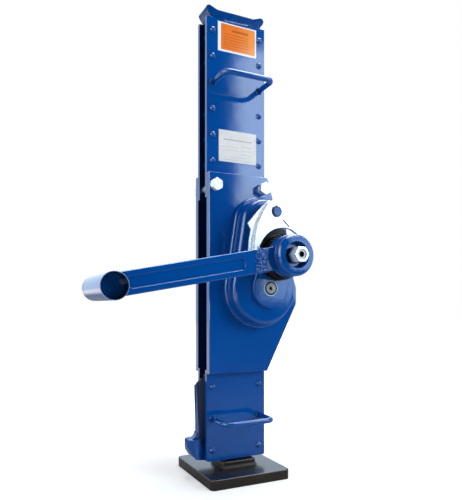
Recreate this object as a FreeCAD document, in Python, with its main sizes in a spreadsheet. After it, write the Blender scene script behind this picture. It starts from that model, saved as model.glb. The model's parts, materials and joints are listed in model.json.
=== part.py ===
import FreeCAD, Part
import Sketcher
import math
import os
import re

os.makedirs("parts", exist_ok=True)
doc = FreeCAD.newDocument("RackJack")
sheet = doc.addObject("Spreadsheet::Sheet", "Sizes")
Vector = FreeCAD.Vector

# The jack stands on the XY plane with its rack along Z. X runs to the right and the crank side
# faces -Y. "Back" and "front" distances of a piece are measured from the mid plane towards -Y.

SIZES = {
    # Foot plate, its boss and the rack
    "foot_width": 130,
    "foot_depth": 140,
    "foot_thickness": 15,
    "foot_corner": 7,
    "foot_edge": 1.5,
    "boss_left": 25.5,
    "boss_right": 30.5,
    "boss_depth": 50,
    "boss_height": 9,
    "boss_corner": 4,
    "boss_weld": 3,
    "weld_toe": 0.1,
    "rack_back": 5,
    "rack_depth": 20,
    "rack_clearance": 7,
    "rack_module": 3,
    "gaps_below_shaft": 27,
    "foot_bolt_radius": 4,
    "foot_bolt_spread": 5.5,
    # Gear train
    "pressure_angle": 20,
    "pinion_teeth": 8,
    "pinion_shift": 0.5,
    "tooth_tip": 0.8,
    "tooth_root": 1.25,
    "rack_tip": 0.9,
    "rack_root": 1.1,
    "drive_module": 2,
    "drive_teeth": 40,
    "tooth_play": 0.25,
    "crank_axis_x": 50,
    "crank_axis_z": 336,
    "drive_axis_x": 38.5,
    "drive_gear_back": 31,
    "drive_gear_width": 12,
    "drive_gear_hub": 17,
    "drive_shaft_radius": 9,
    "drive_shoulder_radius": 12,
    "shaft_end_gap": 0.5,
    "key_width": 5,
    "key_height": 2.4,
    "centre_hole": 2,
    # Casing plates and rails
    "casing_half_width": 50,
    "casing_half_depth": 17,
    "plate_thickness": 6,
    "casing_bottom": 26,
    "lower_plate_top": 165,
    "upper_plate_bottom": 428,
    "plate_corner": 3,
    "plate_edge": 0.8,
    "rail_inset": 4,
    "rail_width": 12,
    "rail_gap": 1,
    "channel_depth": 18,
    "channel_rail_width": 6,
    "guide_gap": 0.3,
    "back_guide_bottom": 240,
    "front_guide_bottom": 305,
    "guide_top": 324,
    "foot_guide_top": 100,
    "foot_guide_rise": 2,
    # Gear plates and covers
    "gear_plate_thickness": 10,
    "gear_plate_top": 465,
    "gear_plate_low": 160,
    "belly_x": 104,
    "belly_top": 292,
    "belly_low": 266,
    "belly_round": 12,
    "wall_inset": 5,
    "wall_width": 8,
    "dome_x": 33,
    "dome_z": 288,
    "dome_radius": 60,
    "dome_upper_z": 388,
    "dome_upper_radius": 44,
    "dome_height": 25,
    "dome_step": 8,
    "dome_shoulder": 4,
    "dome_step_round": 3.6,
    "dome_draft": 6,
    "dome_wall": 3,
    "dome_round": 7,
    "bearing_thickness": 6,
    "bearing_radius": 30,
    "bearing_upper_radius": 27,
    "bearing_round": 1.5,
    "bush_wall": 3.5,
    "bush_gap": 0.05,
    # Head and claw
    "head_top": 717,
    "head_height": 14,
    "head_set_back": 1.5,
    "seat_half_width": 31,
    "seat_round": 2.4,
    "head_notch": 2,
    "notch_half_width": 33,
    "tenon_depth": 20,
    "head_weld": 2,
    "head_weld_reach": 20,
    "claw_seat": 60,
    "claw_tip": 77.8,
    "claw_nose": 61.5,
    "claw_high": 150,
    "claw_low": 27,
    "claw_half_depth": 5.5,
    "nose_round": 5.3,
    "throat_round": 10,
    "claw_web_left": 44,
    "claw_web_back": 34,
    "claw_web_top": 156,
    "claw_floor": 8,
    "toe_half_depth": 13,
    "toe_round": 12,
    "toe_gap": 1,
    "toe_groove": 6,
    "toe_groove_depth": 3,
    # Rivets, case bolts and carry handles
    "rivet_column": 40,
    "rivet_shank": 2.5,
    "rivet_head": 4.8,
    "rivet_head_height": 4.2,
    "rivet_share_top": 0.9291,
    "rivet_share_second": 0.7836,
    "upper_handle_share": 0.6382,
    "rivet_share_third": 0.4927,
    "rivet_share_fourth": 0.3491,
    "rivet_share_low": 0.2047,
    "lower_rivet_high": 139.5,
    "lower_handle_row": 90,
    "lower_rivet_low": 42.3,
    "bolt_row": 445,
    "bolt_shank": 5,
    "bolt_flats": 17,
    "bolt_head_height": 6.4,
    "bolt_chamfer": 1,
    "bolt_end": 2,
    "washer_radius": 8.8,
    "washer_thickness": 1.5,
    "spacer_radius": 8,
    "spacer_length": 6,
    "handle_rod": 4,
    "handle_reach": 45,
    "handle_bend": 11,
    "handle_weld": 2,
    # Crank
    "flange_gap": 1,
    "flange_thickness": 7,
    "flange_radius": 35,
    "crank_rear_radius": 6,
    "crank_journal_radius": 10,
    "crank_thread_radius": 12.5,
    "crank_pinion_back": 29,
    "crank_pinion_width": 18,
    "disc_thickness": 3,
    "disc_radius": 29,
    "ratchet_thickness": 10,
    "ratchet_radius": 34,
    "ratchet_teeth": 36,
    "ratchet_tooth": 3,
    "ratchet_offset": 0.1,
    "ratchet_rise": 0.72,
    "hub_rim": 2,
    "hub_sleeve": 22,
    "hub_radius": 30.5,
    "hub_length": 17.5,
    "hub_crown": 2.5,
    "hub_round": 4,
    "hub_groove": 1.5,
    "hub_groove_start": 6,
    "hub_groove_width": 2.5,
    "hub_pocket_radius": 19.25,
    "hub_pocket_depth": 14,
    "clip_thickness": 2,
    "clip_width": 3,
    "hex_flats": 21,
    "hex_reach": 12.5,
    "hex_chamfer": 1.5,
    "hex_pocket": 7.5,
    "hex_pocket_depth": 1.5,
    "hex_hole": 3.5,
    "hex_hole_depth": 14,
    "arm_length": 288.3,
    "arm_tilt": 10.3,
    "eye_radius": 31,
    "eye_thickness": 12,
    "arm_thickness": 10,
    "arm_start": 50,
    "tongue_end": 80,
    "arm_height_hub": 34,
    "arm_height_grip": 31,
    "arm_bevel": 6,
    "recess_start": 81,
    "recess_end": 250,
    "recess_height": 17,
    "recess_taper": 0.5,
    "recess_depth": 2.5,
    "neck_round": 12,
    "arm_edge": 2,
    # Grip
    "grip_radius": 15.75,
    "grip_wall": 1.8,
    "grip_edge": 0.6,
    "grip_gap": 1,
    "grip_length": 93,
    "grip_rod": 7,
    "grip_bush": 12,
    "grip_front_bush": 58,
    "grip_recess": 16,
    "grip_plug": 4,
    "rod_head": 10,
    "rod_head_length": 2.5,
    "rod_head_gap": 0.3,
    # Pawl
    "pawl_pin_x": 37,
    "pawl_pin_z": 402.5,
    "pawl_pin_radius": 6.5,
    "pawl_back": 68.5,
    "pawl_rear_thickness": 3,
    "pawl_thickness": 6,
    "pawl_hole_gap": 0.1,
    "pawl_boss_radius": 11,
    "pawl_boss_gap": 0.4,
    "pawl_cut_radius": 43.5,
    "pawl_cut_start": 72,
    "pawl_cut_end": 168,
    "pawl_tip_gap": 0.4,
    "pawl_tip_angle": 38,
    "tooth_length": 12,
    "heel_length": 9,
    "heel_width": 4.5,
    "pin_reach": 3,
    "pin_head": 3,
    "pin_head_length": 2,
    "pin_clip_thickness": 1.2,
    "pin_clip_width": 1.6,
    "clip_ear_radius": 1.3,
    # Label places
    "label_left": 31.5,
    "label_right": 35,
    "label_low_share": 0.8218,
    "label_high_share": 0.984,
    "plate_left": 30,
    "plate_right": 35,
    "plate_low_share": 0.2073,
    "plate_high_share": 0.3836,
    "sheet_thickness": 0.6,
    "nail_radius": 1.2,
    "nail_head_height": 0.84,
    "nail_inset": 4,
}


def fill_sheet():
    """One row for each size: its name, its value and the name as the cell's alias."""
    for row, (alias, value) in enumerate(SIZES.items(), start=1):
        sheet.set(f"A{row}", alias)
        sheet.set(f"B{row}", str(value))
        sheet.setAlias(f"B{row}", alias)
    doc.recompute()


def bound(expression):
    """The expression with each size's name turned into its cell in the sheet."""
    return re.sub(r"[a-z_]{3,}", lambda word: "Sizes." + word[0] if word[0] in SIZES else word[0],
                  str(expression))


def value(expression):
    """Number that the expression gives now."""
    found = sheet.evalExpression(bound(expression))
    return float(getattr(found, "Value", found))


fill_sheet()

# Expressions that several pieces share
GEAR_FACE = "(casing_half_depth + gear_plate_thickness)"
DOME_FACE = f"({GEAR_FACE} + dome_height)"
BEARING_FACE = f"({DOME_FACE} + bearing_thickness)"
FLANGE_BACK = f"({BEARING_FACE} + flange_gap)"
FLANGE_FACE = f"({FLANGE_BACK} + flange_thickness)"
RATCHET_BACK = f"({FLANGE_FACE} + disc_thickness)"
RATCHET_FACE = f"({RATCHET_BACK} + ratchet_thickness)"
HUB_BACK = f"({RATCHET_FACE} + disc_thickness)"
EYE_BACK = f"({HUB_BACK} + hub_rim)"
EYE_FACE = f"({EYE_BACK} + eye_thickness)"
ARM_FACE = f"({EYE_FACE} + arm_thickness)"
HUB_FACE = f"({EYE_FACE} + hub_length)"
SHAFT_FACE = f"({HUB_FACE} + hex_reach)"
POCKET_FLOOR = f"({HUB_FACE} - hub_pocket_depth)"
INNER_HALF_GAP = "(casing_half_depth - plate_thickness)"
CENTRE_DISTANCE = "(drive_module * (pinion_teeth + drive_teeth) / 2)"
DRIVE_AXIS_Z = f"(crank_axis_z - sqrt({CENTRE_DISTANCE} ^ 2 - (crank_axis_x - drive_axis_x) ^ 2))"
RACK_PITCH = "(pi * rack_module)"
RACK_LINE = "(drive_axis_x - rack_module * (pinion_teeth / 2 + pinion_shift))"
RACK_CREST = f"({RACK_LINE} + rack_tip * rack_module)"
RACK_MIDDLE = f"(({RACK_LINE} - rack_root * rack_module - rack_back) / 2)"
UPPER_TOP = "(head_top - head_height)"
UPPER_LENGTH = f"({UPPER_TOP} - upper_plate_bottom)"
RACK_TOP = f"({UPPER_TOP} - tenon_depth - rack_clearance)"
HEAD_HALF_DEPTH = "(casing_half_depth - head_set_back)"
CHANNEL_FLOOR = "(casing_half_width - channel_depth)"
CHANNEL_BACK = f"({CHANNEL_FLOOR} - channel_rail_width)"
RAIL_OUTER = "(casing_half_width - rail_inset)"
RAIL_INNER = f"({RAIL_OUTER} - rail_width)"
PAWL_FACE = "(pawl_back + pawl_rear_thickness + pawl_thickness)"
GRIP_BACK = f"({ARM_FACE} + grip_gap)"
CASE_LEAN = "((belly_x - casing_half_width) / (gear_plate_top - belly_top))"


def bind(item, name, expression):
    item.setExpression(name, bound(expression))


def place(item, x="0", y="0", z="0", rotation=FreeCAD.Rotation()):
    """Set a piece down with its own origin at x, y, z, bound to the sheet."""
    item.Placement = FreeCAD.Placement(Vector(value(x), value(y), value(z)), rotation)
    bind(item, "Placement.Base.x", x)
    bind(item, "Placement.Base.y", y)
    bind(item, "Placement.Base.z", z)


FACING_FRONT = FreeCAD.Rotation(Vector(1, 0, 0), 90)


def facing(item, back, x="0", z="0"):
    """Turn a piece so that its own XY plane faces the front, its back at this distance."""
    place(item, x, f"-({back})", z, FACING_FRONT)


def origin_plane(body, role):
    return next(item for item in body.Origin.OriginFeatures if item.Role == role)


def new_body(name):
    body = doc.addObject("PartDesign::Body", name)
    body.Label = name
    return body


def new_sketch(body, name, role="XY_Plane", height="0"):
    sketch = body.newObject("Sketcher::SketchObject", name)
    sketch.AttachmentSupport = (origin_plane(body, role), [""])
    sketch.MapMode = "FlatFace"
    bind(sketch, "AttachmentOffset.Base.z", height)
    return sketch


def fix_point(sketch, geometry, point, x, y):
    """Tie one point of the sketch to the sheet in both directions."""
    for kind, expression in (("DistanceX", x), ("DistanceY", y)):
        rule = Sketcher.Constraint(kind, -1, 1, geometry, point, value(expression))
        bind(sketch, f"Constraints[{sketch.addConstraint(rule)}]", expression)


def outline(body, name, corners, role="XY_Plane", height="0"):
    """A closed sketch of straight sides through the corners."""
    sketch = new_sketch(body, name, role, height)
    points = [Vector(value(x), value(y), 0) for x, y in corners]
    for start, end in zip(points, points[1:] + points[:1]):
        sketch.addGeometry(Part.LineSegment(start, end))
    for side in range(len(points)):
        following = (side + 1) % len(points)
        sketch.addConstraint(Sketcher.Constraint("Coincident", side, 2, following, 1))
    for side, (x, y) in enumerate(corners):
        fix_point(sketch, side, 1, x, y)
    return sketch


def rectangle(body, name, left, low, right, high, role="XY_Plane", height="0"):
    corners = [(left, low), (right, low), (right, high), (left, high)]
    return outline(body, name, corners, role, height)


def discs(body, name, circles, height="0"):
    """A sketch of circles, each given by its centre and radius."""
    sketch = new_sketch(body, name, height=height)
    for x, y, radius in circles:
        circle = Part.Circle(Vector(value(x), value(y), 0), Vector(0, 0, 1), value(radius))
        index = sketch.addGeometry(circle)
        rule = Sketcher.Constraint("Radius", index, value(radius))
        bind(sketch, f"Constraints[{sketch.addConstraint(rule)}]", radius)
        fix_point(sketch, index, 3, x, y)
    return sketch


def belt(body, name, low, high, height="0"):
    """A sketch of the tight loop round two circles, the lower one given first."""
    sketch = new_sketch(body, name, height=height)
    centres = [Vector(value(x), value(y), 0) for x, y, radius in (low, high)]
    radii = [value(radius) for x, y, radius in (low, high)]
    along = centres[1] - centres[0]
    course = math.atan2(along.y, along.x)
    spread = math.acos((radii[0] - radii[1]) / along.Length)

    def rim(which, angle):
        reach = Vector(math.cos(angle), math.sin(angle), 0) * radii[which]
        return centres[which] + reach

    normal = Vector(0, 0, 1)
    right, left = course - spread, course + spread
    low_circle = Part.Circle(centres[0], normal, radii[0])
    high_circle = Part.Circle(centres[1], normal, radii[1])
    sketch.addGeometry(Part.ArcOfCircle(low_circle, left, right + 2 * math.pi))
    sketch.addGeometry(Part.LineSegment(rim(0, right), rim(1, right)))
    sketch.addGeometry(Part.ArcOfCircle(high_circle, right, left))
    sketch.addGeometry(Part.LineSegment(rim(1, left), rim(0, left)))
    for first, first_end, second, second_end in ((0, 2, 1, 1), (1, 2, 2, 1), (2, 2, 3, 1), (3, 2, 0, 1)):
        sketch.addConstraint(Sketcher.Constraint("Tangent", first, first_end, second, second_end))
    for index, (x, y, radius) in ((0, low), (2, high)):
        rule = Sketcher.Constraint("Radius", index, value(radius))
        bind(sketch, f"Constraints[{sketch.addConstraint(rule)}]", radius)
        fix_point(sketch, index, 3, x, y)
    return sketch


def pad(body, sketch, length, draft=None):
    feature = body.newObject("PartDesign::Pad", sketch.Name + "_pad")
    feature.Profile = sketch
    bind(feature, "Length", length)
    if draft:
        bind(feature, "TaperAngle", draft)
    return feature


def pocket(body, sketch, depth, draft=None):
    """Cut from the sketch's plane towards the piece's front."""
    feature = body.newObject("PartDesign::Pocket", sketch.Name + "_cut")
    feature.Profile = sketch
    feature.Reversed = True
    bind(feature, "Length", depth)
    if draft:
        bind(feature, "TaperAngle", draft)
    return feature


def edges_where(feature, test):
    """Names of the edges whose middle point passes the test."""
    doc.recompute()
    names = []
    for number, edge in enumerate(feature.Shape.Edges, start=1):
        middle = edge.valueAt((edge.FirstParameter + edge.LastParameter) / 2)
        if test(edge, middle):
            names.append(f"Edge{number}")
    return names


def round_edges(body, base, test, radius, kind="Fillet"):
    feature = body.newObject("PartDesign::" + kind, base.Name + "_" + kind.lower())
    feature.Base = (base, edges_where(base, test))
    bind(feature, "Radius" if kind == "Fillet" else "Size", radius)
    return feature


def along(direction):
    """Test for straight edges along one axis of the piece."""
    def test(edge, middle):
        if edge.Curve.TypeId != "Part::GeomLine":
            return False
        return abs(edge.Curve.Direction.dot(direction)) > 0.999
    return test


def at_height(height):
    """Test for edges that lie in one plane across the piece's own Z."""
    level = value(height)

    def test(edge, middle):
        ends = [vertex.Z for vertex in edge.Vertexes]
        return all(abs(end - level) < 1e-4 for end in ends + [middle.z])
    return test


def turned(name, profile, x, z, back="0"):
    """A round piece about a line to the front: its profile is pairs of radius and distance."""
    body = new_body(name)
    sketch = outline(body, name + "_profile", profile, role="XZ_Plane")
    feature = body.newObject("PartDesign::Revolution", name + "_turned")
    feature.Profile = sketch
    feature.ReferenceAxis = (sketch, ["V_Axis"])
    feature.Angle = 360
    facing(body, back, x, z)
    return body


def ring_shape(inner, outer, length, x, z, back):
    """Plain ring about a line to the front, as a shape."""
    start = Vector(value(x), -value(back), value(z))
    outside = Part.makeCylinder(value(outer), value(length), start, Vector(0, -1, 0))
    return outside.cut(Part.makeCylinder(value(inner), value(length), start, Vector(0, -1, 0)))


def ring(name, inner, outer, length, x, z, back):
    profile = [(inner, "0"), (outer, "0"), (outer, length), (inner, length)]
    return turned(name, profile, x, z, back)


def block(name, left, right, low, high, back, front):
    """A plain bar given by its sides in the front view and its two faces."""
    item = doc.addObject("Part::Box", name)
    item.Label = name
    bind(item, "Length", f"({right}) - ({left})")
    bind(item, "Width", f"({high}) - ({low})")
    bind(item, "Height", f"({front}) - ({back})")
    facing(item, back, left, low)
    return item


def made(name, shape):
    item = doc.addObject("Part::Feature", name)
    item.Label = name
    item.Shape = shape
    return item


def on_upper(share):
    """Height on the upper plates, for a share of their length."""
    return f"(upper_plate_bottom + {UPPER_LENGTH} * {share})"


# Rows of rivets, from the top down, and of the upper handle
UPPER_ROWS = [on_upper("rivet_share_" + row) for row in ("top", "second", "third", "fourth", "low")]
LOWER_ROWS = ["lower_rivet_high", "lower_rivet_low"]
UPPER_HANDLE_ROW = on_upper("upper_handle_share")


def both_columns(rows, radius):
    return [(side + "rivet_column", row, radius) for row in rows for side in ("-", "")]


# Foot plate with its boss and the rack
def foot_plate():
    body = new_body("base_plate")
    sketch = rectangle(body, "base_outline", "-foot_width / 2", "-foot_depth / 2",
                       "foot_width / 2", "foot_depth / 2")
    plate = pad(body, sketch, "foot_thickness")
    corners = round_edges(body, plate, along(Vector(0, 0, 1)), "foot_corner")
    round_edges(body, corners, at_height("foot_thickness"), "foot_edge")
    spots = [(RACK_MIDDLE, side + "foot_bolt_spread", "foot_bolt_radius") for side in ("-", "")]
    pocket(body, discs(body, "base_bolt_holes", spots), "foot_thickness")


def foot_boss():
    body = new_body("foot_boss")
    sketch = rectangle(body, "boss_outline", "-boss_left", "-boss_depth / 2", "boss_right", "boss_depth / 2")
    solid = pad(body, sketch, "boss_height")
    solid = round_edges(body, solid, along(Vector(0, 0, 1)), "boss_corner")
    solid = round_edges(body, solid, at_height("boss_height"), "plate_edge", "Chamfer")
    slot = rectangle(body, "boss_slot", "-rack_back", "-rack_depth / 2", RACK_CREST, "rack_depth / 2")
    pocket(body, slot, "boss_height")
    place(body, z="foot_thickness")


def rounded_slab(margin, height, corner):
    """Slab with the boss's outline, larger by the margin on every side."""
    left = value("boss_left") + margin
    depth = value("boss_depth") + 2 * margin
    slab = Part.makeBox(left + value("boss_right") + margin, depth, height, Vector(-left, -depth / 2, 0))
    return slab.makeFillet(corner, [edge for edge in slab.Edges if abs(edge.tangentAt(0).z) > 0.9])


def boss_weld():
    """Fillet weld round the boss, where it meets the foot plate."""
    leg = value("boss_weld")
    corner = value("boss_corner")
    outer = rounded_slab(leg, leg, corner + leg)
    rim = [edge for edge in outer.Edges if edge.CenterOfMass.z > leg - 1e-6]
    bead = outer.makeChamfer(leg - value("weld_toe"), rim).cut(rounded_slab(0, leg, corner))
    item = made("boss_weld", bead)
    place(item, z="foot_thickness")


def rack():
    """Toothed bar; its gaps follow the drive shaft's height so that the pinion meshes at rest."""
    body = new_body("rack")
    sketch = rectangle(body, "rack_bar", "-rack_back", "foot_thickness", RACK_CREST, RACK_TOP)
    pad(body, sketch, "rack_depth")
    root = f"({RACK_LINE} - rack_root * rack_module)"
    lean = "tan(pressure_angle)"
    middle = f"({DRIVE_AXIS_Z} - gaps_below_shaft * {RACK_PITCH})"
    wide = f"({RACK_PITCH} / 4 + rack_tip * rack_module * {lean})"
    narrow = f"({RACK_PITCH} / 4 - rack_root * rack_module * {lean})"
    corners = [(root, f"{middle} - {narrow}"), (RACK_CREST, f"{middle} - {wide}"),
               (RACK_CREST, f"{middle} + {wide}"), (root, f"{middle} + {narrow}")]
    gap = outline(body, "rack_gap", corners)
    cut = pocket(body, gap, "rack_depth")
    teeth = body.newObject("PartDesign::LinearPattern", "rack_teeth")
    teeth.Originals = [cut]
    teeth.Direction = (gap, ["V_Axis"])
    gaps = f"floor(({RACK_TOP} - {middle}) / {RACK_PITCH} + 0.5)"
    bind(teeth, "Length", f"{RACK_PITCH} * ({gaps} - 1)")
    bind(teeth, "Occurrences", gaps)
    body.Tip = teeth
    facing(body, "-rack_depth / 2")


def foot_bolts():
    """Two bolts from below that hold the rack down on the foot plate."""
    radius = value("foot_bolt_radius")
    spread = value("foot_bolt_spread")
    feet = [Vector(value(RACK_MIDDLE), side * spread, 0) for side in (-1, 1)]
    bolts = [Part.makeCylinder(radius, value("foot_thickness"), foot) for foot in feet]
    made("foot_bolts", Part.makeCompound(bolts))


# Casing: plates, rails and guides
def casing_plate(name, low, high, back, rows, notch=False):
    """One plate of the casing with its rivet holes, and the head's notch in its top edge."""
    body = new_body(name)
    half = "casing_half_width"
    corners = [(f"-{half}", low), (half, low), (half, high)]
    if notch:
        corners += [("notch_half_width", high), ("notch_half_width", f"{high} - head_notch"),
                    ("-notch_half_width", f"{high} - head_notch"), ("-notch_half_width", high)]
    corners.append((f"-{half}", high))
    solid = pad(body, outline(body, name + "_outline", corners), "plate_thickness")
    bottom = value(low)
    upright = along(Vector(0, 0, 1))
    if not notch:
        lower = lambda edge, middle: upright(edge, middle) and abs(middle.y - bottom) < 1e-6
        solid = round_edges(body, solid, lower, "plate_corner")
    holes = both_columns(rows, "rivet_shank")
    if notch:
        holes += both_columns(["bolt_row"], "bolt_shank")
    pocket(body, discs(body, name + "_holes", holes), "plate_thickness")
    facing(body, back)


def right_rail(name, low, high, holes):
    """Bar between the plates on the right; holes are pairs of row and radius."""
    body = new_body(name)
    depth = f"2 * {INNER_HALF_GAP}"
    pad(body, rectangle(body, name + "_outline", RAIL_INNER, low, RAIL_OUTER, high), depth)
    spots = [("rivet_column", row, radius) for row, radius in holes]
    pocket(body, discs(body, name + "_holes", spots), depth)
    facing(body, f"-{INNER_HALF_GAP}")


def casing():
    inner = INNER_HALF_GAP
    outer = "casing_half_depth"
    for side, back in (("front", inner), ("rear", f"-{outer}")):
        casing_plate("upper_plate_" + side, "upper_plate_bottom", UPPER_TOP, back, UPPER_ROWS, True)
        casing_plate("lower_plate_" + side, "casing_bottom", "lower_plate_top", back, LOWER_ROWS)
    riveted = [(row, "rivet_shank") for row in UPPER_ROWS]
    right_rail("upper_rail_right", "upper_plate_bottom", UPPER_TOP, riveted + [("bolt_row", "bolt_shank")])
    right_rail("lower_rail_right", "casing_bottom", "lower_plate_top",
               [(row, "rivet_shank") for row in LOWER_ROWS])
    channel = (f"-{CHANNEL_FLOOR}", f"-{CHANNEL_BACK}")
    block("upper_rail_left", *channel, "upper_plate_bottom", f"{UPPER_TOP} - head_notch", f"-{inner}", inner)
    block("gear_rail_left", *channel, "lower_plate_top + rail_gap", "upper_plate_bottom - rail_gap",
          f"-{outer}", outer)
    guide_right = "-rack_back - guide_gap"
    crest = f"{RACK_CREST} + guide_gap"
    block("rack_guide_back", f"-{CHANNEL_BACK}", guide_right, "back_guide_bottom", "guide_top",
          f"-{inner}", inner)
    block("rack_guide_front", crest, RAIL_INNER, "front_guide_bottom", "guide_top",
          f"-{outer}", outer)
    low = "casing_bottom + foot_guide_rise"
    block("foot_guide_back", "-claw_web_back", guide_right, low, "foot_guide_top", f"-{inner}", inner)
    block("foot_guide_front", crest, RAIL_INNER, low, "foot_guide_top", f"-{inner}", inner)


def case_edge(z, inset):
    """X of the gear plates' slanting right edge at a height, moved in by the inset."""
    return f"(casing_half_width + (gear_plate_top - ({z})) * {CASE_LEAN} - ({inset}))"


def gear_plate(name, back, drive_hole, crank_hole):
    """Thick plate of the gear case: straight on the left, with a belly on the right."""
    body = new_body(name)
    half = "casing_half_width"
    corners = [(f"-{half}", "gear_plate_low"), (half, "gear_plate_low"), ("belly_x", "belly_low"),
               ("belly_x", "belly_top"), (half, "gear_plate_top"), (f"-{half}", "gear_plate_top")]
    solid = pad(body, outline(body, name + "_outline", corners), "gear_plate_thickness")
    belly = value("casing_half_width") + 1
    upright = along(Vector(0, 0, 1))
    corner = lambda edge, middle: upright(edge, middle) and middle.x > belly
    solid = round_edges(body, solid, corner, "belly_round")
    top = at_height("gear_plate_thickness" if value(back) > 0 else "0")
    solid = round_edges(body, solid, top, "plate_edge", "Chamfer")
    holes = [("drive_axis_x", DRIVE_AXIS_Z, drive_hole), ("crank_axis_x", "crank_axis_z", crank_hole)]
    holes += both_columns(["bolt_row"], "bolt_shank")
    pocket(body, discs(body, name + "_holes", holes), "gear_plate_thickness")
    facing(body, back)


def gear_wall():
    """Closing strip between the gear plates, along their slanting right side."""
    body = new_body("gear_case_wall")
    high = "upper_plate_bottom - rail_gap"
    low = "lower_plate_top + rail_gap"
    inset = "wall_inset"
    deep = "(wall_inset + wall_width)"
    low_lean = "((belly_x - casing_half_width) / (belly_low - gear_plate_low))"
    low_edge = f"(casing_half_width + ({low} - gear_plate_low) * {low_lean})"
    corners = [(f"{low_edge} - {inset}", low), (f"belly_x - {inset}", "belly_low"),
               (f"belly_x - {inset}", "belly_top"), (case_edge(high, inset), high),
               (case_edge(high, deep), high), (f"belly_x - {deep}", "belly_top"),
               (f"belly_x - {deep}", "belly_low"), (f"{low_edge} - {deep}", low)]
    pad(body, outline(body, "gear_wall_outline", corners), "2 * casing_half_depth")
    facing(body, "-casing_half_depth")


def dome():
    """Drawn cover over the gears: a low shoulder, a drafted dome and a hollow inside."""
    body = new_body("gear_cover")
    low = ("dome_x", "dome_z", "dome_radius")
    high = ("dome_x", "dome_upper_z", "dome_upper_radius")

    def smaller(circle, amount):
        return circle[0], circle[1], f"{circle[2]} - {amount}"

    base = pad(body, belt(body, "dome_foot", low, high), "dome_step")
    round_edges(body, base, at_height("dome_step"), "dome_step_round")
    upper = belt(body, "dome_rise", smaller(low, "dome_shoulder"), smaller(high, "dome_shoulder"))
    solid = pad(body, upper, "dome_height", "-dome_draft")
    solid = round_edges(body, solid, at_height("dome_height"), "dome_round")
    inset = "(dome_shoulder + dome_wall)"
    hollow = belt(body, "dome_hollow", smaller(low, inset), smaller(high, inset))
    pocket(body, hollow, "dome_height - dome_wall", "-dome_draft")
    drive = ("drive_axis_x", DRIVE_AXIS_Z, "drive_shaft_radius + bush_wall")
    crank = ("crank_axis_x", "crank_axis_z", "crank_journal_radius + bush_wall")
    pin = ("pawl_pin_x", "pawl_pin_z", "pawl_pin_radius")
    pocket(body, discs(body, "dome_holes", [drive, crank, pin]), "dome_height")
    facing(body, GEAR_FACE)


def bearing_plate():
    body = new_body("bearing_plate")
    low = ("drive_axis_x", DRIVE_AXIS_Z, "bearing_radius")
    high = ("crank_axis_x", "crank_axis_z", "bearing_upper_radius")
    solid = pad(body, belt(body, "bearing_outline", low, high), "bearing_thickness")
    solid = round_edges(body, solid, at_height("bearing_thickness"), "bearing_round")
    drive = ("drive_axis_x", DRIVE_AXIS_Z, "drive_shaft_radius + bush_wall")
    crank = ("crank_axis_x", "crank_axis_z", "crank_journal_radius + bush_wall")
    pocket(body, discs(body, "bearing_holes", [drive, crank]), "bearing_thickness")
    facing(body, DOME_FACE)


def bushes():
    """Plain bearings of the two shafts, each in its plate or cover."""
    front_length = "(bearing_thickness + dome_wall)"
    front_back = f"{BEARING_FACE} - {front_length}"
    plate = "gear_plate_thickness"
    rear = f"-{GEAR_FACE}"
    drive_places = ((front_length, front_back), (plate, rear))
    crank_places = ((plate, "casing_half_depth"), (plate, rear))
    drive_axis = ("drive_axis_x", DRIVE_AXIS_Z)
    crank_axis = ("crank_axis_x", "crank_axis_z")
    radius = "drive_shaft_radius"
    made("drive_bushes", Part.makeCompound([
        ring_shape(f"{radius} + bush_gap", f"{radius} + bush_wall", length, *drive_axis, back)
        for length, back in drive_places]))
    radius = "crank_rear_radius"
    made("crank_bushes", Part.makeCompound([
        ring_shape(f"{radius} + bush_gap", f"{radius} + bush_wall", length, *crank_axis, back)
        for length, back in crank_places]))
    radius = "crank_journal_radius"
    ring("crank_bush_front", f"{radius} + bush_gap", f"{radius} + bush_wall", front_length,
         *crank_axis, front_back)


# Head and claw
# Free form of the head's side, upwards: how far it stands in from the casing's edge, and its
# height above the plates as a share of the head's height
HEAD_SIDE = [(7.5, 0), (6, 0.29), (2, 0.64), (0, 0.96), (1, 1.18), (5, 1.36)]


def head():
    """Load head: flat seat between two raised ends, with a tenon down between the rails."""
    body = new_body("head")
    side = [(f"(casing_half_width - {inset})", f"{UPPER_TOP} + {share} * head_height")
            for inset, share in HEAD_SIDE]
    corners = side + [("seat_half_width", "head_top"), ("-seat_half_width", "head_top")]
    corners += [(f"-{x}", z) for x, z in reversed(side)]
    block_pad = pad(body, outline(body, "head_outline", corners), f"2 * {HEAD_HALF_DEPTH}")
    seat = value("head_top")
    upright = along(Vector(0, 0, 1))
    seat_ends = lambda edge, middle: upright(edge, middle) and abs(middle.y - seat) < 1e-6
    round_edges(body, block_pad, seat_ends, "seat_round")
    middle_height = f"{UPPER_TOP} + head_height / 2"
    apron = rectangle(body, "head_apron", "-notch_half_width", f"{UPPER_TOP} - head_notch",
                      "notch_half_width", middle_height)
    pad(body, apron, f"2 * {HEAD_HALF_DEPTH}")
    tenon = rectangle(body, "head_tenon", f"-{CHANNEL_BACK}", f"{UPPER_TOP} - tenon_depth", RAIL_INNER,
                      middle_height, height=f"{HEAD_HALF_DEPTH} - {INNER_HALF_GAP}")
    pad(body, tenon, f"2 * {INNER_HALF_GAP}")
    facing(body, f"-{HEAD_HALF_DEPTH}")


def head_welds():
    """Row of weld beads along the foot of the head, on the front and the back plate."""
    radius = value("head_weld")
    half = value("head_weld_reach")
    level = value(f"{UPPER_TOP} - head_notch")
    beads = []
    for side in (-1, 1):
        face = side * value("casing_half_depth")
        bar = Part.makeCylinder(radius, 2 * half, Vector(-half, face, level), Vector(1, 0, 0))
        outside = Vector(-half, min(face, face + side * radius), level - radius)
        beads.append(bar.common(Part.makeBox(2 * half, radius, 2 * radius, outside)))
    made("head_welds", Part.makeCompound(beads))


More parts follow.
